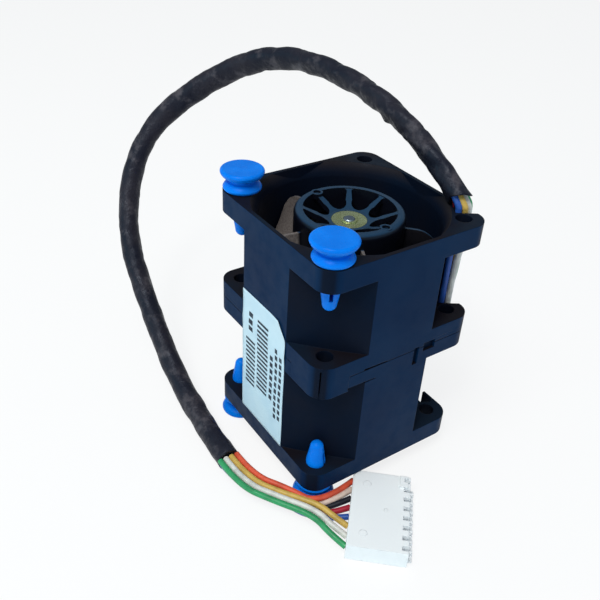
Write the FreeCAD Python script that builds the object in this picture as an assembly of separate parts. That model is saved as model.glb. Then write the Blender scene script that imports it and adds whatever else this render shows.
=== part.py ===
"""Server fan module: two counter-rotating 40 mm axial fans clipped end to end.

Millimetres, +Z up along the fan axis, origin on the axis at the level of the lowest point.
The label side faces -X, the snap-clip side faces -Y, and the leads leave at the +X -Y corner.
"""
import FreeCAD
import Part
import math
import os
from collections import namedtuple
from FreeCAD import Placement, Rotation, Vector

# Frames
frame_side = 40.0
module_height = 56.0
lower_unit_height = 30.2
end_flange_thickness = 4.8
mid_flange_thickness = 3.8
flange_corner_radius = 3.8
hole_pitch = 0.8 * frame_side
hole_diameter = 3.5
bore_wall = 1.0
bore_diameter = frame_side - 2 * bore_wall
flat_width = 16.6
facet_bow = 0.3
rim_wall = 0.9
flare_overrun = 0.6
flare_depth = 5.0

# Clip lugs between the frames, sized from the module's sides and the seam
lug_length = 7.5
lug_depth = 9.5
corner_step = 0.95
corner_step_length = 10.2
lug_lift = 0.75
lug_slit_width = 0.3
seam_groove = 0.14
seam_groove_depth = 0.45
catch_depth = 0.7
slit_height = 0.5
lower_slit_length = 7.1
seam_slit_length = 5.9
seam_slit_offset = 3.6
flex_slot_width = 1.3
flex_slot_height = 4.4
catch_width = 3.1
catch_height = 2.1
catch_offset = 6.8
flex_slot_offset = 4.2

# Lead notch beside a hole of the lower end flange
notch_rim = 0.6
notch_depth = 2.8
notch_hole_gap = 2.0
notch_lip = 0.6
notch_step = 2.65

# Motor mount inside each frame
base_diameter = 22.4
base_floor = 1.4
base_rim_height = 3.0
base_rim_wall = 0.9
base_setback = 0.6
strut_count = 4
strut_thickness = 1.3
strut_height = 4.4
strut_lean = 28.0
socket_wall = 1.1
socket_height = 3.6

# Impellers
tip_clearance = 0.4
hub_diameter = 23.0
hub_to_seam = 6.4
ring_setback = 1.3
ring_width = 1.8
ring_rounding = 1.1
boss_setback = 3.7
boss_diameter = 8.8
web_thickness = 1.3
window_count = 8
window_inner_reach = 6.5
window_inner_radius = 1.95
spoke_width = 0.9
hub_well_depth = 6.6
blade_setback = 4.2
blade_corner_rounding = 4.6
blade_root_thickness = 1.3
blade_tip_thickness = 0.8
blade_root_sweep = 62.0
blade_tip_sweep = 58.0
blade_lead = 6.0
balance_pocket_diameter = 1.6
balance_pad_diameter = 2.5
balance_pocket_depth = 0.6
fan_end_gap = 0.9

# Rotors and bearings
yoke_wall = 0.6
yoke_step_diameter = 14.0
yoke_step_height = 0.6
magnet_thickness = 1.0
magnet_height = 9.6
air_gap = 0.35
bushing_flange_diameter = 7.4
bushing_flange_thickness = 1.0
bushing_shank_diameter = 5.6
bushing_end = 7.9
shaft_diameter = 2.5
shaft_stand_out = 0.35
bearing_diameter = 6.0
bearing_width = 2.6
bearing_tube_wall = 0.6
upper_bearing_depth = 8.7
spring_thickness = 0.2
clip_thickness = 0.4
clip_diameter = 4.6
shaft_end_gap = 0.5

# Stators and boards
pole_count = 4
core_height = 6.4
core_to_hub_end = 1.8
neck_width = 2.2
shoe_thickness = 1.1
shoe_gap = 1.5
core_ring_wall = 0.7
insulator_thickness = 0.5
coil_overhang = 1.1
board_thickness = 0.8
board_rim_gap = 0.8
board_diameter = base_diameter - 2 * base_rim_wall - 2 * board_rim_gap
board_flat_depth = 1.2
board_flat_width = 12.0
board_clearance = 1.2
chip_side = 3.0
chip_height = 0.9
capacitor_count = 3
capacitor_pitch = 2.4
capacitor_width = 1.2
capacitor_length = 2.0
sensor_side = 2.4

# Mounting pins
pin_head_height = 4.6
pin_cap_diameter = 9.2
pin_foot_diameter = 8.1
pin_groove_diameter = 5.4
pin_shank_clearance = 0.06
pin_barb_diameter = 4.2
pin_tip_diameter = 2.9
pin_tip_length = 6.0
pin_slit_width = 0.7
pin_slit_length = 3.2

# Label
label_width = 16.5
label_height = 32.6
label_thickness = 0.1
label_corner_cut = 3.4

# Leads
lead_diameter = 1.35
lead_pitch = 1.4
lead_bend = 1.9
lead_angle = -32.0
lead_stand_off = 1.65
lead_clearance = 0.12
lead_start = 8.2
lead_above_flange = 0.35
lead_turn_radius = 4.0

# Sleeve and plug
sleeve_diameter = 5.4
plug_length = 20.32
plug_width = 12.7
plug_thickness = 4.3
plug_corner = (-20.6, -33.9)
plug_heading = 42.0
terminal_pitch = 2.54
terminal_count = 8
cavity_width = 1.8
cavity_height = 2.4
contact_setback = 1.5
contact_length = 6.0
contact_wall = 0.3
key_inset = 0.9
key_depth = 0.9
latch_width = 1.1
latch_reach = 1.4
tab_width = 3.4
tab_setback = 0.6
tab_length = 1.8

fit_gap = 0.02
seat_gap = 0.05

# The shrink sleeve stands in one arch from the top notch to the table beside the module.
sleeve_route = [
    (18.95, -10.4, 64.1),
    (18.95, -0.6, 72.4),
    (17.6, 23.5, 77.5),
    (12.0, 47.0, 77.0),
    (0.5, 63.5, 66.5),
    (-15.5, 70.0, 52.5),
    (-26.0, 60.0, 33.0),
    (-27.5, 41.5, 16.0),
    (-28.8, 21.8, 2.8),
    (-28.8, -0.4, 2.8),
]

# The plug leads, from the plug's near cavity to its far one; each ends in its cavity mouth.
plug_lead_routes = [
    [(-30.9, -0.4, 3.52), (-30.9, -9.5, 3.52), (-30.0, -20.0, 3.4), (-26.1, -29.6, 3.0)],
    [(-29.5, -0.4, 3.52), (-29.5, -9.3, 3.52), (-28.5, -19.2, 3.5), (-24.7, -28.5, 3.1)],
    [(-28.1, -0.4, 3.52), (-28.1, -9.1, 3.52), (-27.0, -18.6, 3.6), (-23.1, -27.4, 3.3)],
    [(-30.9, -0.4, 2.08), (-30.9, -9.0, 2.08), (-28.8, -18.2, 1.5), (-22.4, -26.5, 1.7)],
    [(-29.5, -0.4, 2.08), (-29.5, -8.8, 2.08), (-27.4, -17.6, 1.5), (-21.0, -25.6, 1.7)],
    [(-28.1, -0.4, 2.08), (-28.1, -8.6, 2.08), (-26.0, -17.0, 1.5), (-19.8, -24.5, 1.7)],
    [(-26.7, -0.4, 2.08), (-26.7, -8.4, 2.08), (-24.7, -16.4, 1.5), (-18.5, -23.3, 1.7)],
    [(-26.7, -0.4, 3.52), (-26.7, -8.2, 3.52), (-24.4, -16.0, 3.6), (-17.7, -21.6, 3.5)],
]

# Places worked out from the sizes above
base_z = pin_head_height
top_z = base_z + module_height
seam_z = base_z + lower_unit_height
half_side = frame_side / 2
hole_reach = hole_pitch / 2
bore_radius = bore_diameter / 2
flat_half = flat_width / 2
lead_inner_reach = half_side + lead_stand_off
facet_reach = half_side + facet_bow
flare_diameter = frame_side + flare_overrun
hub_radius = hub_diameter / 2
yoke_radius = hub_radius - 0.9
magnet_radius = yoke_radius - yoke_wall - fit_gap
core_radius = magnet_radius - magnet_thickness - air_gap
shaft_radius = shaft_diameter / 2
tube_outer_radius = bearing_diameter / 2 + bearing_tube_wall

FanUnit = namedtuple("FanUnit", "name height blades blade_angle window_angle upper")
upper_unit = FanUnit("upper", module_height - lower_unit_height, 5, 129.0, 54.2, True)
lower_unit = FanUnit("lower", lower_unit_height, 5, 20.0, 30.0, False)


# ---------------------------------------------------------------- basic forms

def disc(radius, start, end, x=0.0, y=0.0):
    """Upright cylinder between two levels."""
    return Part.makeCylinder(radius, end - start, Vector(x, y, start))


def ring(outer, inner, start, end):
    """Upright tube between two levels."""
    return disc(outer, start, end).cut(disc(inner, start - 1, end + 1))


def block(x0, x1, y0, y1, z0, z1):
    """Box between two corners."""
    return Part.makeBox(x1 - x0, y1 - y0, z1 - z0, Vector(x0, y0, z0))


def turned(profile):
    """Solid of revolution about Z from straight (radius, level) corners."""
    points = [Vector(r, 0, z) for r, z in profile]
    outline = Part.makePolygon(points + points[:1])
    return Part.Face(outline).revolve(Vector(0, 0, 0), Vector(0, 0, 1), 360)


def turned_edges(edges):
    """Solid of revolution about Z from a closed run of edges in the XZ plane."""
    return Part.Face(Part.Wire(edges)).revolve(Vector(0, 0, 0), Vector(0, 0, 1), 360)


def line(a, b):
    """Straight edge in the XZ plane between (radius, level) points."""
    return Part.LineSegment(Vector(a[0], 0, a[1]), Vector(b[0], 0, b[1])).toShape()


def bow(a, middle, b):
    """Arc edge in the XZ plane through three (radius, level) points."""
    return Part.Arc(*[Vector(p[0], 0, p[1]) for p in (a, middle, b)]).toShape()


def turn(shape, angle):
    """Copy of a shape turned about the fan axis."""
    return shape.rotated(Vector(0, 0, 0), Vector(0, 0, 1), angle)


def repeat(shape, count):
    """Copies of a shape spaced evenly about the fan axis."""
    return [turn(shape, 360.0 * i / count) for i in range(count)]


def rounded_plate(side, radius, start, end):
    """Square plate with rounded corners."""
    plate = block(-side / 2, side / 2, -side / 2, side / 2, start, end)
    upright = [e for e in plate.Edges if abs(e.Vertexes[0].Z - e.Vertexes[-1].Z) > 0.1]
    return plate.makeFillet(radius, upright)


def in_module(shape, unit):
    """Puts a shape drawn with depth below its unit's open face into the module.

    The upper unit opens upwards, so its depth runs down; the lower one opens downwards.
    """
    if unit.upper:
        flipped = shape.mirror(Vector(0, 0, 0), Vector(0, 0, 1))
        flipped.translate(Vector(0, 0, top_z))
        return flipped
    moved = shape.copy()
    moved.translate(Vector(0, 0, base_z))
    return moved


# ---------------------------------------------------------------- frames

def barrel(start, end):
    """Outside of the air barrel: four flat sides joined by bowed corner facets."""
    middle = facet_reach / math.sqrt(2)
    edges = []
    for k in range(4):
        spin = Rotation(Vector(0, 0, 1), 90.0 * k)
        flat_a = spin.multVec(Vector(half_side, -flat_half, start))
        flat_b = spin.multVec(Vector(half_side, flat_half, start))
        facet = spin.multVec(Vector(middle, middle, start))
        flat_c = spin.multVec(Vector(flat_half, half_side, start))
        edges.append(Part.LineSegment(flat_a, flat_b).toShape())
        edges.append(Part.Arc(flat_b, facet, flat_c).toShape())
    return Part.Face(Part.Wire(edges)).extrude(Vector(0, 0, end - start))


def air_way(unit):
    """Air passage of one unit: a straight bore and a flared mouth inside the thin rim."""
    mouth = flare_diameter / 2
    sag = 0.3 * (mouth - bore_radius)
    flare = turned_edges([
        line((0, -1), (mouth, -1)),
        line((mouth, -1), (mouth, 0)),
        bow((mouth, 0), ((mouth + bore_radius) / 2 - sag, flare_depth * 0.38), (bore_radius, flare_depth)),
        line((bore_radius, flare_depth), (0, flare_depth)),
        line((0, flare_depth), (0, -1)),
    ])
    opening = frame_side - 2 * rim_wall
    inside = rounded_plate(opening, flange_corner_radius, -1, flare_depth)
    return disc(bore_radius, -1, unit.height + 1).fuse(flare.common(inside))


def screw_holes(start, end):
    """The four mounting holes between two depths."""
    reach = (-hole_reach, hole_reach)
    return [disc(hole_diameter / 2, start, end, x, y) for x in reach for y in reach]


def lead_lane(extra, start, end):
    """Upright channel that takes the two layers of leads behind the corner facet."""
    half = 2 * lead_pitch + extra
    inner = lead_inner_reach - lead_diameter / 2 - extra
    lane = block(inner, frame_side, -half, half, start, end)
    return turn(lane, lead_angle)


def end_notch():
    """Lead notch of an end flange beside its corner hole, closed outside by the flange's rim."""
    rim = half_side - notch_rim
    far = hole_reach - notch_hole_gap
    near = flat_half + notch_step
    outline = [(rim - notch_depth, notch_lip - far), (rim - notch_lip, -far - notch_lip), (rim, -far),
               (rim, -near), (half_side + 1, -near), (half_side + 1, -flat_half), (rim - notch_depth, -flat_half)]
    points = [Vector(x, y, -1) for x, y in outline]
    face = Part.Face(Part.makePolygon(points + points[:1]))
    cut = face.extrude(Vector(0, 0, end_flange_thickness + 1.5))
    return cut.cut(barrel(-2, end_flange_thickness + 2))


def strut(unit, angle):
    """One leaning guide vane between the motor base and the barrel."""
    end = unit.height - base_setback
    vane = block(base_diameter / 2 - base_rim_wall, bore_radius + 0.4,
                 -strut_thickness / 2, strut_thickness / 2, end - strut_height, end)
    leaned = vane.rotated(Vector(0, 0, end - strut_height / 2), Vector(1, 0, 0), strut_lean)
    kept = leaned.common(disc(frame_side, end - strut_height, end))
    return turn(kept, angle)


def lead_strut(unit, side):
    """Channelled strut that carries the unit's four leads out to the barrel wall."""
    end = unit.height - base_setback
    half = lead_pitch + 0.75
    solid = block(base_diameter / 2 - base_rim_wall, bore_radius + 0.4, -half, half, end - strut_height, end)
    solid.translate(Vector(0, side * lead_pitch, 0))
    return turn(solid, lead_angle)


def lead_channel(unit, side):
    """Space for the four leads, from the motor base out through the barrel wall."""
    half = lead_pitch + lead_clearance
    start = unit.height - 2 * lead_pitch - 2 * lead_clearance - base_setback
    solid = block(lead_start - 0.3, frame_side, -half, half, start, unit.height + 1)
    solid.translate(Vector(0, side * lead_pitch, 0))
    return turn(solid, lead_angle)


def lead_gate(unit):
    """Window through the barrel wall beside the seam, where both units' leads bend into the lane."""
    half = 2 * lead_pitch + lead_clearance
    near = lead_inner_reach - lead_bend - lead_diameter / 2
    height = 2 * lead_pitch + 2 * lead_clearance + lead_bend
    return turn(block(near, frame_side, -half, half, unit.height - height, unit.height + 1), lead_angle)


def lead_side(unit):
    """The upper unit's leads run on one half of the lane, the lower unit's on the other."""
    return 1.0 if unit.upper else -1.0


def motor_base(unit):
    """Motor mount: floor, rim, bearing socket, board rests and the struts to the barrel."""
    end = unit.height - base_setback
    floor_top = end - base_floor
    radius = base_diameter / 2
    parts = [
        ring(radius, radius - base_rim_wall, end - base_rim_height, end),
        ring(tube_outer_radius + fit_gap + socket_wall, tube_outer_radius + fit_gap, end - socket_height, end),
    ]
    rest = block(radius - base_rim_wall - 1.6, radius - 0.2, -1.0, 1.0, floor_top - board_clearance, end)
    parts += [turn(rest, lead_angle + 60 + 120 * i) for i in range(3)]
    spacing = 360.0 / strut_count
    parts += [strut(unit, lead_angle + spacing * i) for i in range(1, strut_count)]
    parts.append(lead_strut(unit, lead_side(unit)))
    return disc(radius, floor_top, end).multiFuse(parts)


def corner_block(start, end, length=lug_length):
    """Part of the flange outline at the (-X, -Y) corner, between two levels."""
    plate = rounded_plate(frame_side, flange_corner_radius, start, end)
    corner = block(-half_side, -half_side + length, -half_side, -half_side + lug_depth, start, end)
    return plate.common(corner)


def side_prism(profile, depth):
    """Cut into the -Y side, from (x, level) corners to a depth."""
    points = [Vector(x, -half_side - 1, z) for x, z in profile]
    face = Part.Face(Part.makePolygon(points + points[:1]))
    return face.extrude(Vector(0, depth + 1, 0))


def slit(start, length, low):
    """Profile of a tapered slit that narrows along X."""
    return [(start, low), (start, low + slit_height), (start + length, low + slit_height / 2),
            (start + length, low + slit_height / 5)]


def upright_slot(start, width, low, height):
    """Profile of an upright rectangular opening."""
    return [(start, low), (start, low + height), (start + width, low + height), (start + width, low)]


def clip_cuts():
    """Snap-clip openings on the -Y side: two tapered slits, the flex slot and the catch window."""
    lug_end = -half_side + lug_length
    low = seam_z - mid_flange_thickness + lug_lift
    profiles = [
        slit(lug_end - 0.2, lower_slit_length, low - 0.4),
        slit(lug_end + seam_slit_offset, seam_slit_length, seam_z - seam_groove),
        upright_slot(flex_slot_offset, flex_slot_width, low - 1.0, flex_slot_height),
        upright_slot(catch_offset, catch_width, seam_z - 0.65 * catch_height, catch_height),
    ]
    return [side_prism(profile, catch_depth) for profile in profiles]


def seam_line():
    """Fine groove round the outside of the flanges just below the seam."""
    outer = rounded_plate(frame_side + 2, flange_corner_radius + 1, seam_z - seam_groove, seam_z)
    inner = rounded_plate(frame_side - 2 * seam_groove_depth, flange_corner_radius - seam_groove_depth,
                          seam_z - seam_groove, seam_z)
    return outer.cut(inner)


def corner_pads():
    """Raised corners of the lower frame that the upper frame's two open corners sit over."""
    pad = turn(corner_block(seam_z, seam_z + corner_step, corner_step_length), 90)
    return both_sides([pad.cut(barrel(seam_z - 1, seam_z + corner_step + 1))])


def both_sides(shapes):
    """The shapes and their copies turned half way round the axis."""
    return list(shapes) + [turn(s, 180) for s in shapes]


def frame_body(unit):
    """Shell of one unit with its end flange, barrel, middle flange, bore and motor mount."""
    height = unit.height
    shell = barrel(0, height).multiFuse([
        rounded_plate(frame_side, flange_corner_radius, 0, end_flange_thickness),
        rounded_plate(frame_side, flange_corner_radius, height - mid_flange_thickness, height),
    ])
    cuts = screw_holes(-1, height + 1)
    cuts.append(air_way(unit))
    if unit.upper:
        cuts += [lead_lane(lead_clearance, -1, height + 1), lead_gate(unit)]
    else:
        cuts += [lead_lane(lead_clearance, height - mid_flange_thickness - 1, height + 1), end_notch()]
    body = shell.cut(cuts).fuse(motor_base(unit)).cut(lead_channel(unit, lead_side(unit)))
    return in_module(body, unit).removeSplitter()


def lug_slit():
    """Narrow split through the corner lug, from its hole to the outside."""
    low = seam_z - mid_flange_thickness
    half = lug_slit_width / 2
    slit = block(-half, half, -half_side, 0, low - 1, seam_z + mid_flange_thickness - 0.8)
    return slit.rotated(Vector(0, 0, 0), Vector(0, 0, 1), -45).translated(Vector(-hole_reach, -hole_reach, 0))


def upper_frame():
    """Upper frame: its corner lugs on one diagonal reach down over the lower frame."""
    low = seam_z - mid_flange_thickness
    lug = corner_block(low, seam_z).cut(barrel(low - 1, seam_z + 1))
    body = frame_body(upper_unit).multiFuse(both_sides([lug]))
    holes = [disc(hole_diameter / 2, low - 1, seam_z + 1, x, x) for x in (-hole_reach, hole_reach)]
    return body.cut(holes + corner_pads() + both_sides([lug_slit()] + clip_cuts()))


def lower_frame():
    """Lower frame: it keeps its middle lugs only on the other diagonal."""
    low = seam_z - mid_flange_thickness
    lug_room = corner_block(low - 1, seam_z + 1).cut(barrel(low - 2, seam_z + 2))
    thinner = corner_block(low - 1, low + lug_lift, half_side).cut(barrel(low - 2, seam_z + 2))
    holes = [disc(hole_diameter / 2, seam_z - 1, seam_z + corner_step + 1, x, -x)
             for x in (-hole_reach, hole_reach)]
    body = frame_body(lower_unit).multiFuse(corner_pads())
    lane = lead_lane(lead_clearance + lead_bend, seam_z, seam_z + corner_step + 1)
    return body.cut(both_sides([lug_room, thinner] + clip_cuts()) + holes + [lane, seam_line()])


# ---------------------------------------------------------------- impellers

def hub_end(unit):
    """Depth of the hub's inner end."""
    return unit.height - hub_to_seam


def blade_section(reach, width, thickness, start, end, shift):
    """Cambered blade section in the plane at one distance from the axis."""
    low = Vector(reach, shift - width / 2, start)
    high = Vector(reach, shift + width / 2, end)
    chord = high - low
    side = Vector(0, -chord.z, chord.y).normalize()
    middle = (low + high) * 0.5 + side * (0.16 * chord.Length)
    half = side * (thickness / 2)
    upper = Part.Arc(low + half * 0.6, middle + half, high + half * 0.5).toShape()
    tail = Part.LineSegment(high + half * 0.5, high - half * 0.5).toShape()
    lower = Part.Arc(high - half * 0.5, middle - half, low - half * 0.6).toShape()
    front = Part.LineSegment(low - half * 0.6, low + half * 0.6).toShape()
    return Part.Wire([upper, tail, lower, front])


def blade(unit):
    """One twisted blade, trimmed to the running clearance in the bore."""
    start = blade_setback - 0.3
    end = hub_end(unit) - fan_end_gap
    inner = hub_radius - 2.2
    outer = bore_radius + 1.5
    sections = []
    for step in range(3):
        share = step / 2.0
        reach = inner + (outer - inner) * share
        sweep = math.radians(blade_root_sweep + (blade_tip_sweep - blade_root_sweep) * share)
        thickness = blade_root_thickness + (blade_tip_thickness - blade_root_thickness) * share
        width = 2 * reach * math.sin(sweep / 2) * (1 - 0.16 * share)
        sections.append(blade_section(reach, width, thickness, start, end, -blade_lead * share * share))
    blank = Part.makeLoft(sections, True, False)
    return blank.common(blade_room(unit))


def blade_room(unit):
    """Turned space of the blades: its corner at the tip and the leading edge is well rounded."""
    start = blade_setback
    end = hub_end(unit)
    near = hub_radius - 0.4
    tip = bore_radius - tip_clearance
    straight = tip - blade_corner_rounding
    low = start + 0.85 * blade_corner_rounding
    middle = (straight + 0.68 * blade_corner_rounding, start + 0.27 * blade_corner_rounding)
    return turned_edges([
        line((near, start), (straight, start)),
        bow((straight, start), middle, (tip, low)),
        line((tip, low), (tip, end)),
        line((tip, end), (near, end)),
        line((near, end), (near, start)),
    ])


def window_cut():
    """One petal-shaped window through the hub's end web, round at its inner end."""
    half_angle = math.pi / window_count
    outer = hub_radius - ring_width
    side = spoke_width / 2
    edge_angle = half_angle - math.asin(side / outer)
    corner_out = Vector(outer * math.cos(edge_angle), outer * math.sin(edge_angle), 0)
    corner_in = Vector(window_inner_reach, window_inner_radius, 0)
    flip = lambda v: Vector(v.x, -v.y, v.z)
    edges = [
        Part.LineSegment(corner_in, corner_out).toShape(),
        Part.Arc(corner_out, Vector(outer, 0, 0), flip(corner_out)).toShape(),
        Part.LineSegment(flip(corner_out), flip(corner_in)).toShape(),
        Part.Arc(flip(corner_in), Vector(window_inner_reach - window_inner_radius, 0, 0), corner_in).toShape(),
    ]
    cut = Part.Face(Part.Wire(edges)).extrude(Vector(0, 0, hub_well_depth))
    upright = [e for e in cut.Edges if abs(e.Vertexes[0].Z - e.Vertexes[-1].Z) > 1
               and abs(e.Vertexes[0].X) > window_inner_reach + 1]
    return cut.makeFillet(0.5, upright)


def hub(unit):
    """Hub shell: rounded end ring, dished web with a central boss, and the wall round the yoke."""
    outer = hub_radius
    wall = yoke_radius + fit_gap
    inner_ring = outer - ring_width
    boss = boss_diameter / 2
    end = hub_end(unit)
    r = ring_rounding
    bend = r * (1 - math.sqrt(0.5))
    shell = turned_edges([
        line((inner_ring, ring_setback), (outer - r, ring_setback)),
        bow((outer - r, ring_setback), (outer - bend, ring_setback + bend), (outer, ring_setback + r)),
        line((outer, ring_setback + r), (outer, end)),
        line((outer, end), (wall, end)),
        line((wall, end), (wall, hub_well_depth)),
        line((wall, hub_well_depth), (inner_ring, hub_well_depth)),
        line((inner_ring, hub_well_depth), (inner_ring, ring_setback)),
    ])
    web = turned([
        (bushing_shank_diameter / 2, boss_setback), (boss, boss_setback),
        (inner_ring + 0.1, ring_setback + 0.15), (inner_ring + 0.1, ring_setback + 0.15 + web_thickness),
        (boss, boss_setback + web_thickness), (boss, hub_well_depth),
        (bushing_shank_diameter / 2, hub_well_depth),
    ])
    windows = repeat(window_cut(), window_count)
    windows = [turn(w, 180.0 / window_count + unit.window_angle) for w in windows]
    return shell.fuse(web.cut(windows))


def impeller(unit):
    """Impeller: hub and blades in one moulding, with balance pockets and the bushing's seat."""
    blades = [turn(b, unit.blade_angle) for b in repeat(blade(unit), unit.blades)]
    reach = hub_radius - ring_width
    pad = disc(balance_pad_diameter / 2, ring_setback, ring_setback + 2 * balance_pocket_depth, reach)
    pads = [turn(pad, unit.window_angle + 45 + 180 * i) for i in range(2)]
    body = hub(unit).multiFuse(blades + pads)
    pocket = disc(balance_pocket_diameter / 2, ring_setback - 1, ring_setback + balance_pocket_depth, reach)
    pockets = [turn(pocket, unit.window_angle + 45 + 180 * i) for i in range(2)]
    seat = disc(bushing_flange_diameter / 2 + fit_gap, 0, boss_setback + bushing_flange_thickness)
    return body.cut(pockets + [seat])


def bushing(unit):
    """Brass bushing that joins the impeller, the yoke and the shaft."""
    top = boss_setback
    shank = bushing_shank_diameter / 2 - fit_gap
    bore = shaft_radius
    return turned([
        (bore, top - 0.2), (bore + 0.5, top - 0.2), (bore + 0.5, top),
        (bushing_flange_diameter / 2, top), (bushing_flange_diameter / 2, top + bushing_flange_thickness),
        (shank, top + bushing_flange_thickness), (shank, bushing_end), (bore, bushing_end),
    ])


def yoke(unit):
    """Drawn steel rotor cup that carries the magnet ring."""
    top = hub_well_depth
    outer = yoke_radius
    step = yoke_step_diameter / 2
    cup = disc(outer, top + yoke_step_height, hub_end(unit)).fuse(disc(step, top, top + yoke_step_height))
    hollow = disc(outer - yoke_wall, top + yoke_step_height + yoke_wall, hub_end(unit) + 1)
    raised = disc(step - yoke_wall, top + yoke_wall, top + yoke_step_height + yoke_wall + 1)
    return cup.cut([hollow, raised, disc(bushing_shank_diameter / 2, top - 1, top + 2)])


def magnet(unit):
    """Ring magnet on the inside of the yoke wall."""
    end = hub_end(unit) - 0.3
    return ring(magnet_radius, magnet_radius - magnet_thickness, end - magnet_height, end)


def clip_depth(unit):
    """Depth of the retaining clip's near face."""
    return lower_bearing_depth(unit) + bearing_width + seat_gap


def shaft(unit):
    """Hardened shaft with a groove for the retaining clip."""
    top = boss_setback - shaft_stand_out
    end = unit.height - base_setback - base_floor - shaft_end_gap
    groove = clip_depth(unit)
    neck = shaft_radius - 0.3
    return turned([
        (0, top), (shaft_radius - 0.2, top), (shaft_radius, top + 0.2),
        (shaft_radius, groove), (neck, groove), (neck, groove + clip_thickness),
        (shaft_radius, groove + clip_thickness), (shaft_radius, end - 0.3), (shaft_radius - 0.3, end), (0, end),
    ])


def retaining_clip(unit):
    """Split ring in the shaft groove below the inner bearing."""
    start = clip_depth(unit)
    washer = ring(clip_diameter / 2, shaft_radius - 0.3, start, start + clip_thickness)
    return washer.cut(block(0, clip_diameter, -0.5, 0.5, start - 1, start + 2))


def preload_spring(unit):
    """Coned spring washer that loads the outer bearing against the bushing."""
    start = bushing_end + seat_gap
    end = upper_bearing_depth - seat_gap
    near = shaft_radius + 0.15
    far = near + 1.0
    return turned([
        (near + 0.4, start), (far, start), (far, start + spring_thickness),
        (near + 0.4, end), (near, end), (near, end - spring_thickness),
    ])


# ---------------------------------------------------------------- bearings and stators

def lower_bearing_depth(unit):
    """Depth of the inner bearing's near face."""
    return unit.height - base_setback - base_floor - shaft_end_gap - 1.0 - bearing_width


def bearing_tube(unit):
    """Brass tube that holds both bearings, with a shoulder between them."""
    inner = bearing_diameter / 2
    first = upper_bearing_depth
    second = lower_bearing_depth(unit)
    end = unit.height - base_setback - base_floor
    return turned([
        (inner, first - 0.2), (tube_outer_radius, first - 0.2), (tube_outer_radius, end),
        (inner, end), (inner, second), (inner - 0.5, second),
        (inner - 0.5, first + bearing_width), (inner, first + bearing_width),
    ])


def bearings(unit):
    """Two shielded ball bearings; each race and its shields are one turned ring."""
    inner = shaft_radius + fit_gap
    outer = bearing_diameter / 2 - fit_gap
    rings = []
    for start in (upper_bearing_depth, lower_bearing_depth(unit)):
        end = start + bearing_width
        rings.append(turned([
            (inner, start), (inner + 0.45, start), (inner + 0.45, start + 0.12), (outer - 0.45, start + 0.12),
            (outer - 0.45, start), (outer, start), (outer, end), (inner, end),
        ]))
    return rings


def core_start(unit):
    """Depth of the stator core's near face."""
    return hub_end(unit) - core_to_hub_end - core_height


def sleeve_radius():
    """Outer radius of the insulator's sleeve, which the core sits on."""
    return tube_outer_radius + fit_gap + insulator_thickness


def shoe_inner():
    """Radius at which the pole shoes begin."""
    return core_radius - shoe_thickness


def star(start, end, grow, outer):
    """Outline of the laminations: a ring with a neck and a curved shoe for each pole."""
    hub_ring = sleeve_radius() + core_ring_wall + grow
    neck = block(0, outer - 0.3, -neck_width / 2 - grow, neck_width / 2 + grow, start, end)
    shoes = ring(outer, shoe_inner() - grow, start, end)
    gap = block(0, frame_side, -shoe_gap / 2 + grow, shoe_gap / 2 - grow, start - 1, end + 1)
    shoes = shoes.cut([turn(g, 180.0 / pole_count) for g in repeat(gap, pole_count)])
    return disc(hub_ring, start, end).multiFuse(repeat(neck, pole_count) + [shoes])


def stator_core(unit):
    """Stack of laminations on the insulator's sleeve."""
    start = core_start(unit)
    return star(start, start + core_height, 0, core_radius).cut(disc(sleeve_radius() + fit_gap, 0, unit.height))


def insulator(unit):
    """Moulded insulator: a sleeve through the core, an end star on each face, and board pegs."""
    start = core_start(unit)
    end = start + core_height
    outer = core_radius - 0.2
    thick = insulator_thickness
    top = star(start - thick - fit_gap, start - fit_gap, 0.05, outer)
    bottom = star(end + fit_gap, end + fit_gap + thick, 0.05, outer)
    board_top = board_start(unit)
    peg = disc(0.55, end + thick / 2, board_top, shoe_inner() + shoe_thickness / 2)
    pegs = [turn(p, 90.0 * i) for i, p in enumerate([peg] * pole_count)]
    body = disc(sleeve_radius(), start - thick, end + thick).multiFuse([top, bottom] + pegs)
    return body.cut(disc(tube_outer_radius + fit_gap, 0, unit.height))


def coils(unit):
    """Four windings, one round each pole neck."""
    start = core_start(unit) - insulator_thickness - 2 * fit_gap
    end = core_start(unit) + core_height + insulator_thickness + 2 * fit_gap
    inner = neck_width / 2 + 0.1
    outer = inner + coil_overhang
    near = sleeve_radius() + core_ring_wall + 0.2
    far = math.sqrt(shoe_inner() ** 2 - outer ** 2) - 0.1
    solid = block(near, far, -outer, outer, start - coil_overhang, end + coil_overhang)
    long_edges = [e for e in solid.Edges if abs(e.Vertexes[0].X - e.Vertexes[-1].X) > 0.5]
    solid = solid.makeFillet(0.7, long_edges)
    winding = solid.cut(block(near - 1, far + 1, -inner, inner, start, end))
    return repeat(winding, pole_count)


def board_start(unit):
    """Depth of the circuit board's near face."""
    return unit.height - base_setback - base_floor - board_clearance - board_thickness


def circuit_board(unit):
    """Round circuit board with a flat edge where the leads are soldered."""
    start = board_start(unit)
    plate = disc(board_diameter / 2, start, start + board_thickness)
    hole = disc(tube_outer_radius + fit_gap + socket_wall + 0.15, start - 1, start + 2)
    half = board_flat_width / 2
    flat = block(board_diameter / 2 - board_flat_depth, frame_side, -half, half, start - 1, start + 2)
    return plate.cut([hole, turn(flat, lead_angle)])


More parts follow.
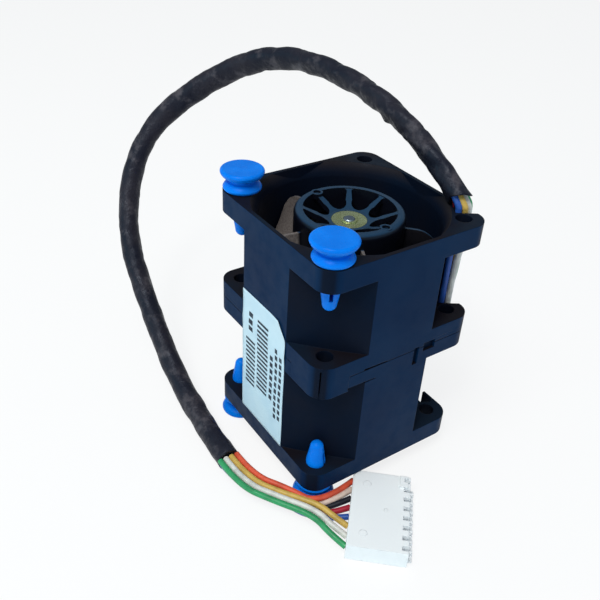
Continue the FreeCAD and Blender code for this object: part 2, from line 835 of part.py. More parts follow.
def board_parts(unit):
    """Driver chip, capacitors and position sensor on the circuit board."""
    start = board_start(unit)
    low = start + board_thickness
    reach = (tube_outer_radius + board_diameter / 2) / 2
    half = chip_side / 2
    chip = block(-reach - half, -reach + half, -half, half, low, low + chip_height)
    caps = []
    for i in range(capacitor_count):
        x = (i - 0.5) * capacitor_pitch
        caps.append(block(x - capacitor_width / 2, x + capacitor_width / 2, reach - capacitor_length / 2,
                          reach + capacitor_length / 2, low, low + chip_height))
    side = sensor_side / 2
    sensor = block(core_radius - side, core_radius + side / 2, -side, side, start - chip_height, start)
    return [chip, turn(sensor, 45)] + caps


# ---------------------------------------------------------------- pins and label

def mounting_pin():
    """Spool-headed snap pin, head up, with its underside at level zero."""
    cap = pin_cap_diameter / 2
    foot = pin_foot_diameter / 2
    groove = pin_groove_diameter / 2
    shank = hole_diameter / 2 - pin_shank_clearance
    barb = pin_barb_diameter / 2
    tip = pin_tip_diameter / 2
    height = pin_head_height
    under = -end_flange_thickness - seat_gap
    end = under - pin_tip_length
    edges = [
        line((0, height), (cap - 0.5, height)),
        bow((cap - 0.5, height), (cap - 0.1, height - 0.25), (cap, height - 0.7)),
        bow((cap, height - 0.7), (cap - 0.35, height - 1.35), (groove + 0.5, height - 1.9)),
        bow((groove + 0.5, height - 1.9), (groove, height - 2.3), (groove + 0.4, height - 2.8)),
        bow((groove + 0.4, height - 2.8), (foot - 0.3, 1.25), (foot, 0.75)),
        bow((foot, 0.75), (foot - 0.15, 0.25), (foot - 0.6, 0)),
        line((foot - 0.6, 0), (shank, 0)),
        line((shank, 0), (shank, under)),
        line((shank, under), (barb, under)),
        line((barb, under), (barb, under - 0.6)),
        line((barb, under - 0.6), (tip, end + tip)),
        bow((tip, end + tip), (tip * math.sqrt(0.5), end + tip * (1 - math.sqrt(0.5))), (0, end)),
        line((0, end), (0, height)),
    ]
    pin = turned_edges(edges)
    slit = block(-barb - 1, barb + 1, -pin_slit_width / 2, pin_slit_width / 2,
                 under - pin_slit_length, under + 0.8)
    slit = slit.rotated(Vector(0, 0, 0), Vector(0, 0, 1), 60)
    return pin.cut(slit)


def placed_pin(y_sign, upper):
    """Pin seated in a flange hole on the label side; the lower ones stand head down."""
    pin = mounting_pin()
    if not upper:
        pin = pin.rotated(Vector(0, 0, 0), Vector(1, 0, 0), 180)
    level = top_z if upper else base_z
    pin.translate(Vector(-hole_reach, y_sign * hole_reach, level))
    return pin


def label():
    """Paper label across both frames, with one clipped corner."""
    left = label_width / 2
    low = base_z + end_flange_thickness
    high = low + label_height
    corners = [(left, low), (left, high), (-left + label_corner_cut * 0.8, high),
               (-left, high - label_corner_cut), (-left, low)]
    points = [Vector(-half_side, y, z) for y, z in corners]
    return Part.Face(Part.makePolygon(points + points[:1])).extrude(Vector(-label_thickness, 0, 0))


# ---------------------------------------------------------------- leads, sleeve and plug

def cord_path(points, name):
    """Straight runs joined by tangent arcs, each as large as its two runs allow.

    Returns the wire and its length, and prints the radii.
    """
    nodes = [Vector(*p) for p in points]
    edges = []
    radii = []
    here = nodes[0]
    for before, corner, after in zip(nodes, nodes[1:], nodes[2:]):
        run_in = (corner - before).Length
        run_out = (after - corner).Length
        ahead = (corner - before).normalize()
        onward = (after - corner).normalize()
        half_turn = ahead.getAngle(onward) / 2
        trim = 0.45 * min(run_in, run_out)
        radius = trim / math.tan(half_turn)
        entry = corner - ahead * trim
        leave = corner + onward * trim
        inward = (onward - ahead).normalize()
        middle = corner + inward * (radius / math.cos(half_turn) - radius)
        edges.append(Part.LineSegment(here, entry).toShape())
        edges.append(Part.Arc(entry, middle, leave).toShape())
        radii.append(round(radius, 1))
        here = leave
    edges.append(Part.LineSegment(here, nodes[-1]).toShape())
    wire = Part.Wire(edges)
    print(name, "radii", radii, "length", round(wire.Length, 2))
    return wire


def cord_tube(points, diameter, name):
    """Round tube along a cord's route; its volume is compared with section times length."""
    path = cord_path(points, name)
    start = Vector(*points[0])
    ahead = Vector(*points[1]) - start
    profile = Part.Face(Part.Wire(Part.makeCircle(diameter / 2, start, ahead)))
    tube = path.makePipe(profile)
    ideal = math.pi * diameter * diameter / 4 * path.Length
    print(name, "volume ratio", round(tube.Volume / ideal, 5))
    return tube


def body_lead(unit, column, layer):
    """One lead from the circuit board out through its strut, up the corner lane and into the sleeve.

    All leads turn towards the sleeve about one line above the flange, so they stay side by side.
    """
    angle = math.radians(lead_angle)
    outward = Vector(math.cos(angle), math.sin(angle), 0)
    across = Vector(-math.sin(angle), math.cos(angle), 0) * ((column - 1.5) * lead_pitch)
    step = (0.5 + layer) * lead_pitch + lead_clearance
    level = seam_z + (2 * lead_pitch + 2 * lead_clearance - step if unit.upper else -step)
    reach = lead_inner_reach + layer * lead_pitch
    rise = lead_bend * (1 - math.sqrt(0.5))
    start = outward * lead_start + across + Vector(0, 0, level)
    bend_in = outward * (reach - lead_bend) + across + Vector(0, 0, level)
    middle = outward * (reach - rise) + across + Vector(0, 0, level + rise)
    bend_out = outward * reach + across + Vector(0, 0, level + lead_bend)

    ahead = (Vector(*sleeve_route[1]) - Vector(*sleeve_route[0])).normalize()
    tilt = math.atan2(ahead.y, ahead.z)
    turn_level = top_z + lead_above_flange
    turn_y = (lead_inner_reach + lead_pitch / 2) * math.sin(angle) + lead_turn_radius
    radius = turn_y - bend_out.y
    turn_in = Vector(bend_out.x, bend_out.y, turn_level)
    half_way = Vector(bend_out.x, turn_y - radius * math.cos(tilt / 2),
                      turn_level + radius * math.sin(tilt / 2))
    turn_out = Vector(bend_out.x, turn_y - radius * math.cos(tilt), turn_level + radius * math.sin(tilt))
    path = Part.Wire([
        Part.LineSegment(start, bend_in).toShape(),
        Part.Arc(bend_in, middle, bend_out).toShape(),
        Part.LineSegment(bend_out, turn_in).toShape(),
        Part.Arc(turn_in, half_way, turn_out).toShape(),
        Part.LineSegment(turn_out, turn_out + Vector(0, math.sin(tilt), math.cos(tilt)) * 1.5).toShape(),
    ])
    profile = Part.Face(Part.Wire(Part.makeCircle(lead_diameter / 2, start, outward)))
    lead = path.makePipe(profile)
    return lead.cut(beyond_sleeve_face())


def beyond_sleeve_face():
    """Half space past the plane of the sleeve's first face."""
    start = Vector(*sleeve_route[0])
    ahead = (Vector(*sleeve_route[1]) - start).normalize()
    return Part.makeCylinder(frame_side, frame_side, start, ahead)


def unit_leads(unit):
    """The four leads of one unit: two columns of two layers."""
    columns = (2, 3) if unit.upper else (0, 1)
    return [body_lead(unit, column, layer) for column in columns for layer in (0, 1)]


def plug_place():
    """Placement of the plug on the table; its length runs along local X, its mating end is -Y."""
    return Placement(Vector(plug_corner[0], plug_corner[1], 0), Rotation(Vector(0, 0, 1), 90 - plug_heading))


def cavity_mouth(index):
    """Centre of one cavity at the plug's lead side."""
    local = Vector(terminal_pitch * (index + 0.5), 0, plug_thickness / 2)
    return plug_place().multVec(local)


def plug_housing():
    """Moulded plug housing: one stepped block with a cavity and a latch window for each terminal."""
    body = block(0, plug_length, -plug_width, 0, 0, plug_thickness)
    long_edges = [e for e in body.Edges if abs(e.Vertexes[0].X - e.Vertexes[-1].X) > plug_length / 2]
    body = body.makeFillet(0.35, long_edges)
    key = block(key_inset, plug_length - key_inset, -plug_width - key_depth, -plug_width + 1,
                plug_thickness * 0.1, plug_thickness * 0.45)
    tab = block(plug_length - tab_width, plug_length - 0.2, -plug_width + tab_setback,
                -plug_width + tab_setback + tab_length, 0.5, plug_thickness + 0.4)
    body = body.multiFuse([key, tab])
    cuts = []
    for index in range(terminal_count):
        x = terminal_pitch * (index + 0.5)
        middle = plug_thickness / 2
        cuts.append(block(x - cavity_width / 2, x + cavity_width / 2, -plug_width - 2, 1,
                          middle - cavity_height / 2, middle + cavity_height / 2))
        cuts.append(block(x - latch_width / 2, x + latch_width / 2, -plug_width - 2, -plug_width + latch_reach,
                          middle, plug_thickness + 1))
    housing = body.cut(cuts)
    housing.Placement = plug_place()
    return housing


def terminals():
    """Crimp terminals in the plug's cavities, each a box contact with a crimp barrel."""
    solids = []
    for index in range(terminal_count):
        x = terminal_pitch * (index + 0.5)
        middle = plug_thickness / 2
        half = cavity_width / 2 - seat_gap
        tall = cavity_height / 2 - seat_gap
        front = contact_setback - plug_width
        back = front + contact_length
        wall = contact_wall
        contact = block(x - half, x + half, front, back, middle - tall, middle + tall)
        contact = contact.cut(block(x - half + wall, x + half - wall, front - 1, back - 1,
                                    middle - tall + wall, middle + tall - wall))
        crimp = Part.makeCylinder(half - seat_gap, -back - seat_gap, Vector(x, back, middle), Vector(0, 1, 0))
        terminal = contact.fuse(crimp)
        terminal.Placement = plug_place()
        solids.append(terminal)
    return solids


def plug_lead(index):
    """One lead from the sleeve's end to its cavity, cut off flush with the plug's face."""
    mouth = cavity_mouth(index)
    route = plug_lead_routes[index] + [(mouth.x, mouth.y, mouth.z)]
    name = "plug_lead_%d" % (index + 1)
    last = Vector(*route[-1])
    ahead = (last - Vector(*route[-2])).normalize()
    longer = route[:-1] + [tuple(last + ahead * 1.0)]
    tube = cord_tube(longer, lead_diameter, name)
    keep_out = block(-5, plug_length + 5, -plug_width, 0, -1, 2 * plug_thickness)
    keep_out.Placement = plug_place()
    return tube.cut(keep_out)


# ---------------------------------------------------------------- export

def unit_nodes(unit):
    """Every node of one fan unit, placed in the module."""
    shapes = {
        "impeller": impeller(unit),
        "yoke": yoke(unit),
        "magnet": magnet(unit),
        "bushing": bushing(unit),
        "shaft": shaft(unit),
        "retaining_clip": retaining_clip(unit),
        "preload_spring": preload_spring(unit),
        "bearing_tube": bearing_tube(unit),
        "bearings": Part.makeCompound(bearings(unit)),
        "stator_core": stator_core(unit),
        "insulator": insulator(unit),
        "coils": Part.makeCompound(coils(unit)),
        "circuit_board": circuit_board(unit),
        "board_parts": Part.makeCompound(board_parts(unit)),
    }
    placed = {unit.name + "_" + key: in_module(shape, unit) for key, shape in shapes.items()}
    placed[unit.name + "_leads"] = Part.makeCompound(unit_leads(unit))
    return placed


def build():
    """All nodes of the module by name."""
    nodes = {"upper_frame": upper_frame(), "lower_frame": lower_frame()}
    for unit in (upper_unit, lower_unit):
        nodes.update(unit_nodes(unit))
    for name, y_sign in (("left", 1), ("front", -1)):
        nodes["upper_pin_" + name] = placed_pin(y_sign, True)
        nodes["lower_pin_" + name] = placed_pin(y_sign, False)
    nodes["label"] = label()
    nodes["sleeve"] = cord_tube(sleeve_route, sleeve_diameter, "sleeve")
    for index in range(terminal_count):
        nodes["plug_lead_%d" % (index + 1)] = plug_lead(index)
    nodes["plug_housing"] = plug_housing()
    nodes["terminals"] = Part.makeCompound(terminals())
    return nodes


def main():
    """Writes one STEP file for each node."""
    os.makedirs("parts", exist_ok=True)
    for name, shape in build().items():
        if not shape.isValid():
            print("NOT VALID", name)
        print(name, "solids", len(shape.Solids), "volume", round(shape.Volume, 2))
        shape.exportStep("parts/" + name + ".step")


main()
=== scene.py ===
"""Looks of a server fan module: two black fans clipped end to end, blue pins and sleeved leads.

Metres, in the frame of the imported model: +Z runs up the fan axis, the label faces -X and the
snap-clip side faces -Y.
"""
import logging
import math
from dataclasses import dataclass, field
from enum import Enum
from typing import Any, Sequence, Union

import bmesh
import bpy
from mathutils import Matrix, Vector, noise


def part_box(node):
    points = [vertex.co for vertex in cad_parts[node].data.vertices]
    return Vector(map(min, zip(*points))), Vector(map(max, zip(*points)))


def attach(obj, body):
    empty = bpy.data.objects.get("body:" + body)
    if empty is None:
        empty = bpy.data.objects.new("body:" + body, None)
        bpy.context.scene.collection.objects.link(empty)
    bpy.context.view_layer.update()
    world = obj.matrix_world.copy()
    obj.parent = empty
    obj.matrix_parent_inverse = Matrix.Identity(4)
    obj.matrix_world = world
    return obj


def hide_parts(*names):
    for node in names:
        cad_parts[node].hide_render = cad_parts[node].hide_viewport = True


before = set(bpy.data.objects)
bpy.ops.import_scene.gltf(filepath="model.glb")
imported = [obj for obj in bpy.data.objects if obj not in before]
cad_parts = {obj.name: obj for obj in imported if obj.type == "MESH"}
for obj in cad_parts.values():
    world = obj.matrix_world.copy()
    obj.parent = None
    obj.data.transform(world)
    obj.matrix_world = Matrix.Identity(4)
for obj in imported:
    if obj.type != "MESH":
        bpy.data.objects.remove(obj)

LOG = logging.getLogger("server_fan_module")
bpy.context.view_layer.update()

Colour = tuple[float, float, float]
Span = tuple[float, float]
Number = Union[float, bpy.types.NodeSocket]
WHITE = (1.0, 1.0, 1.0, 1.0)

HOUSING = "housing"
UNITS = ("upper", "lower")

# Levels of the module: both units meet at the seam, and the upper one ends at the top.
SEAM = 0.0348
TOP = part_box("upper_frame")[1][2]

# Distance from the axis at which the hubs end and the blades begin.
HUB_REACH = 0.0115

# The shrink sleeve's route, from the top notch over the module's back to the table.
SLEEVE_ROUTE = [
    (0.0183, -0.0113, 0.0628),
    (0.0176, 0.0002, 0.0716),
    (0.0164, 0.0243, 0.0772),
    (0.0115, 0.0474, 0.0768),
    (0.0005, 0.0635, 0.0665),
    (-0.0155, 0.0700, 0.0525),
    (-0.0260, 0.0600, 0.0330),
    (-0.0275, 0.0415, 0.0160),
    (-0.0281, 0.0213, 0.0028),
    (-0.0288, -0.0004, 0.0028),
]

# Each plug lead's route, from the sleeve's end to its cavity.
PLUG_LEAD_ROUTES = [
    [(-0.0309, -0.0004, 0.00352), (-0.0309, -0.0088, 0.00352), (-0.0266, -0.0163, 0.0035),
     (-0.0215, -0.0238, 0.0034), (-0.0210, -0.0296, 0.0030)],
    [(-0.0295, -0.0004, 0.00352), (-0.0295, -0.0086, 0.00352), (-0.0250, -0.0162, 0.0036),
     (-0.0203, -0.0232, 0.0036), (-0.0195, -0.0280, 0.0031)],
    [(-0.0281, -0.0004, 0.00352), (-0.0281, -0.0084, 0.00352), (-0.0236, -0.0160, 0.0036),
     (-0.0190, -0.0222, 0.0037), (-0.0180, -0.0262, 0.0033)],
    [(-0.0304, -0.0004, 0.00208), (-0.0301, -0.0082, 0.00208), (-0.0243, -0.0152, 0.0012),
     (-0.0210, -0.0238, 0.0015)],
    [(-0.0295, -0.0004, 0.00208), (-0.0295, -0.0082, 0.00208), (-0.0238, -0.0154, 0.0010),
     (-0.0212, -0.0232, 0.0012)],
    [(-0.0281, -0.0004, 0.00208), (-0.0281, -0.0080, 0.00190), (-0.0208, -0.0138, 0.0009),
     (-0.0208, -0.0222, 0.0009)],
    [(-0.0267, -0.0004, 0.00208), (-0.0267, -0.0080, 0.00215), (-0.0224, -0.0148, 0.0022),
     (-0.0198, -0.0226, 0.0023)],
    [(-0.0267, -0.0004, 0.00352), (-0.0267, -0.0080, 0.00352), (-0.0222, -0.0150, 0.0036),
     (-0.0190, -0.0226, 0.0037)],
]
LEAD_DIAMETER = 0.00135


class LeadColour(Enum):
    """Insulation colours; the value is the linear colour."""

    GREEN = (0.035, 0.330, 0.120)
    WHITE = (0.740, 0.730, 0.680)
    YELLOW = (0.640, 0.420, 0.095)
    BLUE = (0.025, 0.100, 0.420)
    RED = (0.420, 0.018, 0.040)
    BLACK = (0.010, 0.011, 0.020)
    PEACH = (0.760, 0.610, 0.520)
    ORANGE = (0.760, 0.105, 0.050)


class Slot(Enum):
    """Material slots of the record, which this script does not use."""

    SLEEVE = "sleeve_plastic"
    LABEL = "label_paper"
    PLUG = "plug_plastic"


# ---------------------------------------------------------------- shader tools

@dataclass(frozen=True)
class Pattern:
    """Noise in object space, used as it is or cut smoothly between two levels.

    Attributes:
        scale: Cells per metre.
        detail: Octaves.
        low: Level at which the cut starts.
        high: Level at which the cut ends.
        depth: Depth of its relief in metres.
        weight: Weight of the finer octaves.
        stretch: Scale along each axis.
    """

    scale: float
    detail: float
    low: float = 0.3
    high: float = 0.75
    depth: float = 0.0
    weight: float = 0.55
    stretch: Colour = (1.0, 1.0, 1.0)


@dataclass(frozen=True)
class Gloss:
    """How a finish shines.

    Attributes:
        plain: Roughness as a whole.
        smooth: Roughness of its smooth patches.
        dull: Roughness of its dull patches.
        specular: Strength of the mirror-like part.
        wear: Pattern of the dull patches.
        tint: Linear colour of the mirror-like part.
    """

    plain: float
    smooth: float
    dull: float
    specular: float
    wear: Pattern
    tint: Colour = (1.0, 1.0, 1.0)


class Shader:
    """One node-based material with short calls for the nodes that this scene uses."""

    def __init__(self, name: str, colour: Colour, roughness: float, metallic: float = 0.0) -> None:
        """Makes a Principled material.

        Args:
            name: The material's name.
            colour: Linear base colour.
            roughness: Surface roughness from 0 to 1.
            metallic: 1 for bare metal.
        """
        self.material = bpy.data.materials.new(name)
        self.material.use_nodes = True
        self.tree = self.material.node_tree
        self.surface = self.tree.nodes["Principled BSDF"]
        self.surface.inputs["Base Color"].default_value = (*colour, 1.0)
        self.surface.inputs["Roughness"].default_value = roughness
        self.surface.inputs["Metallic"].default_value = metallic
        self.material.diffuse_color = (*colour, 1.0)
        self._place = self.tree.nodes.new("ShaderNodeTexCoord")

    def set(self, **values: Any) -> "Shader":
        """Sets sockets of the surface to plain values.

        Args:
            values: The sockets' names, with an underscore for each space, and their values.

        Returns:
            The shader itself.
        """
        for key, value in values.items():
            self.surface.inputs[key.replace("_", " ")].default_value = value
        return self

    def place(self, output: str = "Object") -> bpy.types.NodeSocket:
        """The texture coordinate socket of that name."""
        return self._place.outputs[output]

    def node(self, kind: str, **settings: Any) -> bpy.types.Node:
        """Adds a node.

        Args:
            kind: Blender's name of the node type.
            settings: Its properties.

        Returns:
            The node.
        """
        made = self.tree.nodes.new(kind)
        for key, value in settings.items():
            setattr(made, key, value)
        return made

    def link(self, source: bpy.types.NodeSocket, target: bpy.types.NodeSocket) -> None:
        """Joins two sockets."""
        self.tree.links.new(source, target)

    def feed(self, value: Union[Number, Colour], target: bpy.types.NodeSocket) -> None:
        """Gives an input its value.

        Args:
            value: A socket to link, or a number or linear colour to write.
            target: The input.
        """
        if isinstance(value, bpy.types.NodeSocket):
            self.link(value, target)
        elif isinstance(value, tuple):
            target.default_value = (*value, 1.0)
        else:
            target.default_value = value

    def math(self, operation: str, a: Number, b: Number = 0.0) -> bpy.types.NodeSocket:
        """Math node on sockets or numbers.

        Args:
            operation: Blender's name of the operation.
            a: First value.
            b: Second value.

        Returns:
            The result's socket.
        """
        made = self.node("ShaderNodeMath", operation=operation)
        self.feed(a, made.inputs[0])
        self.feed(b, made.inputs[1])
        return made.outputs[0]

    def parts(self, output: str = "Object") -> dict[str, bpy.types.NodeSocket]:
        """Splits a texture coordinate.

        Args:
            output: Name of the coordinate.

        Returns:
            Its sockets under X, Y and Z.
        """
        made = self.node("ShaderNodeSeparateXYZ")
        self.link(self.place(output), made.inputs["Vector"])
        return {axis: made.outputs[axis] for axis in "XYZ"}

    def reach(self) -> bpy.types.NodeSocket:
        """Measures how far a point lies from the fan axis.

        Returns:
            The distance's socket.
        """
        parts = self.parts()
        squares = [self.math("MULTIPLY", parts[axis], parts[axis]) for axis in "XY"]
        return self.math("SQRT", self.math("ADD", *squares))

    def widest(self, sockets: dict[str, bpy.types.NodeSocket]) -> bpy.types.NodeSocket:
        """The larger of X and Y, whatever their signs."""
        return self.math("MAXIMUM", *[self.math("ABSOLUTE", sockets[axis]) for axis in "XY"])

    def lines(self, along: bpy.types.NodeSocket, pitch: float) -> bpy.types.NodeSocket:
        """Even waves from -1 to 1 along a distance."""
        return self.math("SINE", self.math("MULTIPLY", along, 2 * math.pi / pitch))

    def noise(self, pattern: Pattern) -> bpy.types.NodeSocket:
        """Draws a pattern's noise.

        Args:
            pattern: The pattern.

        Returns:
            The noise value's socket.
        """
        mapping = self.node("ShaderNodeMapping")
        mapping.inputs["Scale"].default_value = pattern.stretch
        self.link(self.place(), mapping.inputs["Vector"])
        made = self.node("ShaderNodeTexNoise")
        made.inputs["Scale"].default_value = pattern.scale
        made.inputs["Detail"].default_value = pattern.detail
        made.inputs["Roughness"].default_value = pattern.weight
        self.link(mapping.outputs["Vector"], made.inputs["Vector"])
        return made.outputs["Fac"]

    def ramp(self, value: bpy.types.NodeSocket, low: float, high: float, out_low: float = 0.0,
             out_high: float = 1.0) -> bpy.types.NodeSocket:
        """Maps a value smoothly from one range to another.

        Args:
            value: The value's socket.
            low: Start of its range.
            high: End of its range.
            out_low: Result at the start.
            out_high: Result at the end.

        Returns:
            The result's socket.
        """
        made = self.node("ShaderNodeMapRange", interpolation_type="SMOOTHSTEP")
        self.link(value, made.inputs["Value"])
        limits = {"From Min": low, "From Max": high, "To Min": out_low, "To Max": out_high}
        for name, number in limits.items():
            made.inputs[name].default_value = number
        return made.outputs["Result"]

    def patches(self, pattern: Pattern, out_low: float = 0.0,
                out_high: float = 1.0) -> bpy.types.NodeSocket:
        """A pattern cut between its two levels, from one result to the other."""
        return self.ramp(self.noise(pattern), pattern.low, pattern.high, out_low, out_high)

    def mix(self, share: Number, a: Union[Colour, bpy.types.NodeSocket],
            b: Union[Colour, bpy.types.NodeSocket]) -> bpy.types.NodeSocket:
        """Blends two linear colours or colour sockets.

        Args:
            share: How much of the second there is.
            a: First colour.
            b: Second colour.

        Returns:
            The blend's socket.
        """
        made = self.node("ShaderNodeMix", data_type="RGBA")
        for value, number in ((share, 0), (a, 6), (b, 7)):
            self.feed(value, made.inputs[number])
        return made.outputs[2]

    def colour(self, socket: bpy.types.NodeSocket) -> "Shader":
        """Sends a colour to the base colour."""
        self.link(socket, self.surface.inputs["Base Color"])
        return self

    def mottle(self, pattern: Pattern, first: Colour, second: Colour) -> "Shader":
        """Lets the base colour drift from one colour to another over a pattern."""
        return self.colour(self.mix(self.patches(pattern), first, second))

    def wear(self, pattern: Pattern, smooth: float, dull: float) -> "Shader":
        """Lets the roughness drift from one value to another over a pattern."""
        self.link(self.patches(pattern, smooth, dull), self.surface.inputs["Roughness"])
        return self

    def shine(self, gloss: Gloss) -> "Shader":
        """Sets the mirror-like part and the patchy roughness."""
        self.set(Specular_IOR_Level=gloss.specular, Specular_Tint=(*gloss.tint, 1.0))
        return self.wear(gloss.wear, gloss.smooth, gloss.dull)

    def grain(self, pattern: Pattern) -> tuple[bpy.types.NodeSocket, float]:
        """A pattern's noise with its depth, for the relief."""
        return self.noise(pattern), pattern.depth

    def relief(self, heights: Sequence[tuple[bpy.types.NodeSocket, float]],
               edge: float = 0.0) -> "Shader":
        """Adds bump over softly rounded edges.

        Args:
            heights: Pairs of a height socket and its depth in metres.
            edge: Radius of the rounded edges in metres.

        Returns:
            The shader itself.
        """
        normal = None
        if edge > 0:
            bevel = self.node("ShaderNodeBevel", samples=6)
            bevel.inputs["Radius"].default_value = edge
            normal = bevel.outputs["Normal"]
        for height, depth in heights:
            bump = self.node("ShaderNodeBump")
            bump.inputs["Distance"].default_value = depth
            self.link(height, bump.inputs["Height"])
            if normal:
                self.link(normal, bump.inputs["Normal"])
            normal = bump.outputs["Normal"]
        self.link(normal, self.surface.inputs["Normal"])
        return self


# ---------------------------------------------------------------- finishes

@dataclass(frozen=True)
class Coat:
    """A finish of two colours that drift into each other, with patchy gloss and fine relief.

    Attributes:
        name: Material name.
        base: Linear colour.
        drift: Linear colour that it drifts to.
        gloss: How it shines.
        patches: Pattern of the colours.
        skin: Patterns of the relief.
        edge: Radius of the rounded edges in metres.
    """

    name: str
    base: Colour
    drift: Colour
    gloss: Gloss
    patches: Pattern
    skin: tuple[Pattern, ...]
    edge: float = 0.0

    @classmethod
    def moulded(cls, name: str, base: Colour, bloom: Colour, gloss: float = 0.45, depth: float = 4e-6,
                edge: float = 0.00022, specular: float = 0.5) -> "Coat":
        """A plain moulded plastic.

        Args:
            name: Material name.
            base: Linear colour of the plastic.
            bloom: Linear colour that it drifts to in soft patches.
            gloss: Roughness of the smooth skin.
            depth: Depth of the skin texture in metres.
            edge: Radius of the rounded edges in metres.
            specular: Strength of the mirror-like part.

        Returns:
            The finish.
        """
        shine = Gloss(gloss, gloss - 0.06, gloss + 0.10, specular, Pattern(420, 5))
        skin = (Pattern(5200, 2, depth=depth),)
        return cls(name, base, bloom, shine, Pattern(70, 4, 0.35, 0.7), skin, edge)

    @classmethod
    def insulation(cls, colour: LeadColour) -> "Coat":
        """Lead insulation in one colour: soft gloss with handling marks.

        Args:
            colour: The insulation's colour.

        Returns:
            The finish.
        """
        darker = tuple(0.72 * part for part in colour.value)
        shine = Gloss(0.34, 0.28, 0.46, 0.35, Pattern(900, 4, 0.3, 0.7))
        skin = (Pattern(2600, 3, depth=8e-6),)
        name = "lead_" + colour.name.lower()
        return cls(name, colour.value, darker, shine, Pattern(380, 4, 0.35), skin)

    @classmethod
    def label_paper(cls) -> "Coat":
        """Coated label stock with soft handling waves.

        Returns:
            The finish.
        """
        shine = Gloss(0.38, 0.30, 0.46, 0.25, Pattern(300, 4, 0.3, 0.7))
        skin = (Pattern(160, 3, depth=1.2e-4), Pattern(5200, 2, depth=3e-6))
        return cls("label_paper", (0.600, 0.760, 0.850), (0.500, 0.680, 0.800), shine,
                   Pattern(110, 5, 0.35), skin)

    def build(self) -> Shader:
        """Makes the shader.

        Returns:
            The shader.
        """
        shader = Shader(self.name, self.base, self.gloss.plain).shine(self.gloss)
        shader.mottle(self.patches, self.base, self.drift)
        return shader.relief([shader.grain(pattern) for pattern in self.skin], self.edge)


@dataclass(frozen=True)
class FramePlastic:
    """Black frame plastic with painted reflection by face direction: navy on the outer flat faces,
    brown-black on the bowed corner faces and insides, slate on top, and painted sheen over a dusting on
    the flared mouth's upward slopes.

    Attributes:
        flat_reflection: Linear colours of the outer flat faces, navy as painted reflection.
        facet_reflection: Linear colours of the bowed corner faces and the insides, brown-black as painted
            reflection.
        dust_and_sheen: Linear colour of a settled dusting with painted sheen on the flared mouth's upward
            slopes.
        top_reflection: Linear colours of the faces across the axis, brown-black to slate as painted
            reflection.
        gloss: How it shines.
        barrel: Half the barrel's width in metres.
        outer: Depths inside that width between which a point turns into an outside one.
        upright: Sideways parts of the normal between which a face turns into a flat side.
        sloping: Upward parts of the normal between which the dusting and painted sheen come in.
        level: Upward or downward parts of the normal between which a face turns into a top.
        drift: Pattern of the sides' colours.
        top_drift: Pattern of the painted reflection's drift on the faces across the axis.
        skin: Pattern of the skin texture.
        scuffs: Pattern of the scuffs along the axis.
        edge: Radius of the rounded edges in metres.
    """

    # Painted reflection: these colour pairs follow the face direction, and the dusting colour carries
    # painted sheen too.
    flat_reflection: tuple[Colour, Colour] = ((0.0020, 0.0165, 0.0540), (0.0032, 0.0225, 0.0660))
    facet_reflection: tuple[Colour, Colour] = ((0.0026, 0.0075, 0.0200), (0.0070, 0.0085, 0.0160))
    dust_and_sheen: Colour = (0.0200, 0.0165, 0.0180)
    top_reflection: tuple[Colour, Colour] = ((0.0090, 0.0075, 0.0105), (0.0060, 0.0125, 0.0250))
    gloss: Gloss = Gloss(0.42, 0.34, 0.52, 0.045, Pattern(380, 5), (0.45, 0.68, 1.0))
    barrel: float = 0.0200
    outer: Span = (0.0009, 0.0003)
    upright: Span = (0.85, 0.995)
    sloping: Span = (0.25, 0.70)
    level: Span = (0.6, 0.95)
    drift: Pattern = Pattern(55, 4)
    top_drift: Pattern = Pattern(38, 3, 0.4, 0.62)
    skin: Pattern = Pattern(4800, 2, depth=5e-6)
    scuffs: Pattern = Pattern(900, 6, 0.62, 0.72, 2e-6, 0.7, (1.0, 1.0, 0.15))
    edge: float = 0.00025

    def build(self) -> Shader:
        """Makes the shader.

        Returns:
            The shader.
        """
        shader = Shader("frame_plastic", self.flat_reflection[0], self.gloss.plain).shine(self.gloss)
        facing = shader.parts("Normal")
        outer = (self.barrel - depth for depth in self.outer)
        outside = shader.ramp(shader.widest(shader.parts()), *outer)
        # Painted reflection: navy on the outer flat faces, brown-black on the bowed corner faces and
        # insides, slate on the faces across the axis.
        flat = shader.math("MULTIPLY", shader.ramp(shader.widest(facing), *self.upright), outside)
        inside = shader.math("SUBTRACT", 1.0, outside)
        # Painted sheen over a dusting: the inner upward slopes turn lighter.
        dust_and_sheen_share = shader.math("MULTIPLY", shader.ramp(facing["Z"], *self.sloping), inside)
        across = shader.ramp(shader.math("ABSOLUTE", facing["Z"]), *self.level)
        drift = shader.patches(self.drift)
        side_reflection = shader.mix(flat, shader.mix(drift, *self.facet_reflection), shader.mix(drift, *self.flat_reflection))
        top_reflection = shader.mix(shader.patches(self.top_drift), *self.top_reflection)
        shader.colour(shader.mix(across, shader.mix(dust_and_sheen_share, side_reflection, self.dust_and_sheen), top_reflection))
        scuffs = shader.patches(self.scuffs)
        return shader.relief([shader.grain(self.skin), (scuffs, self.scuffs.depth)], self.edge)


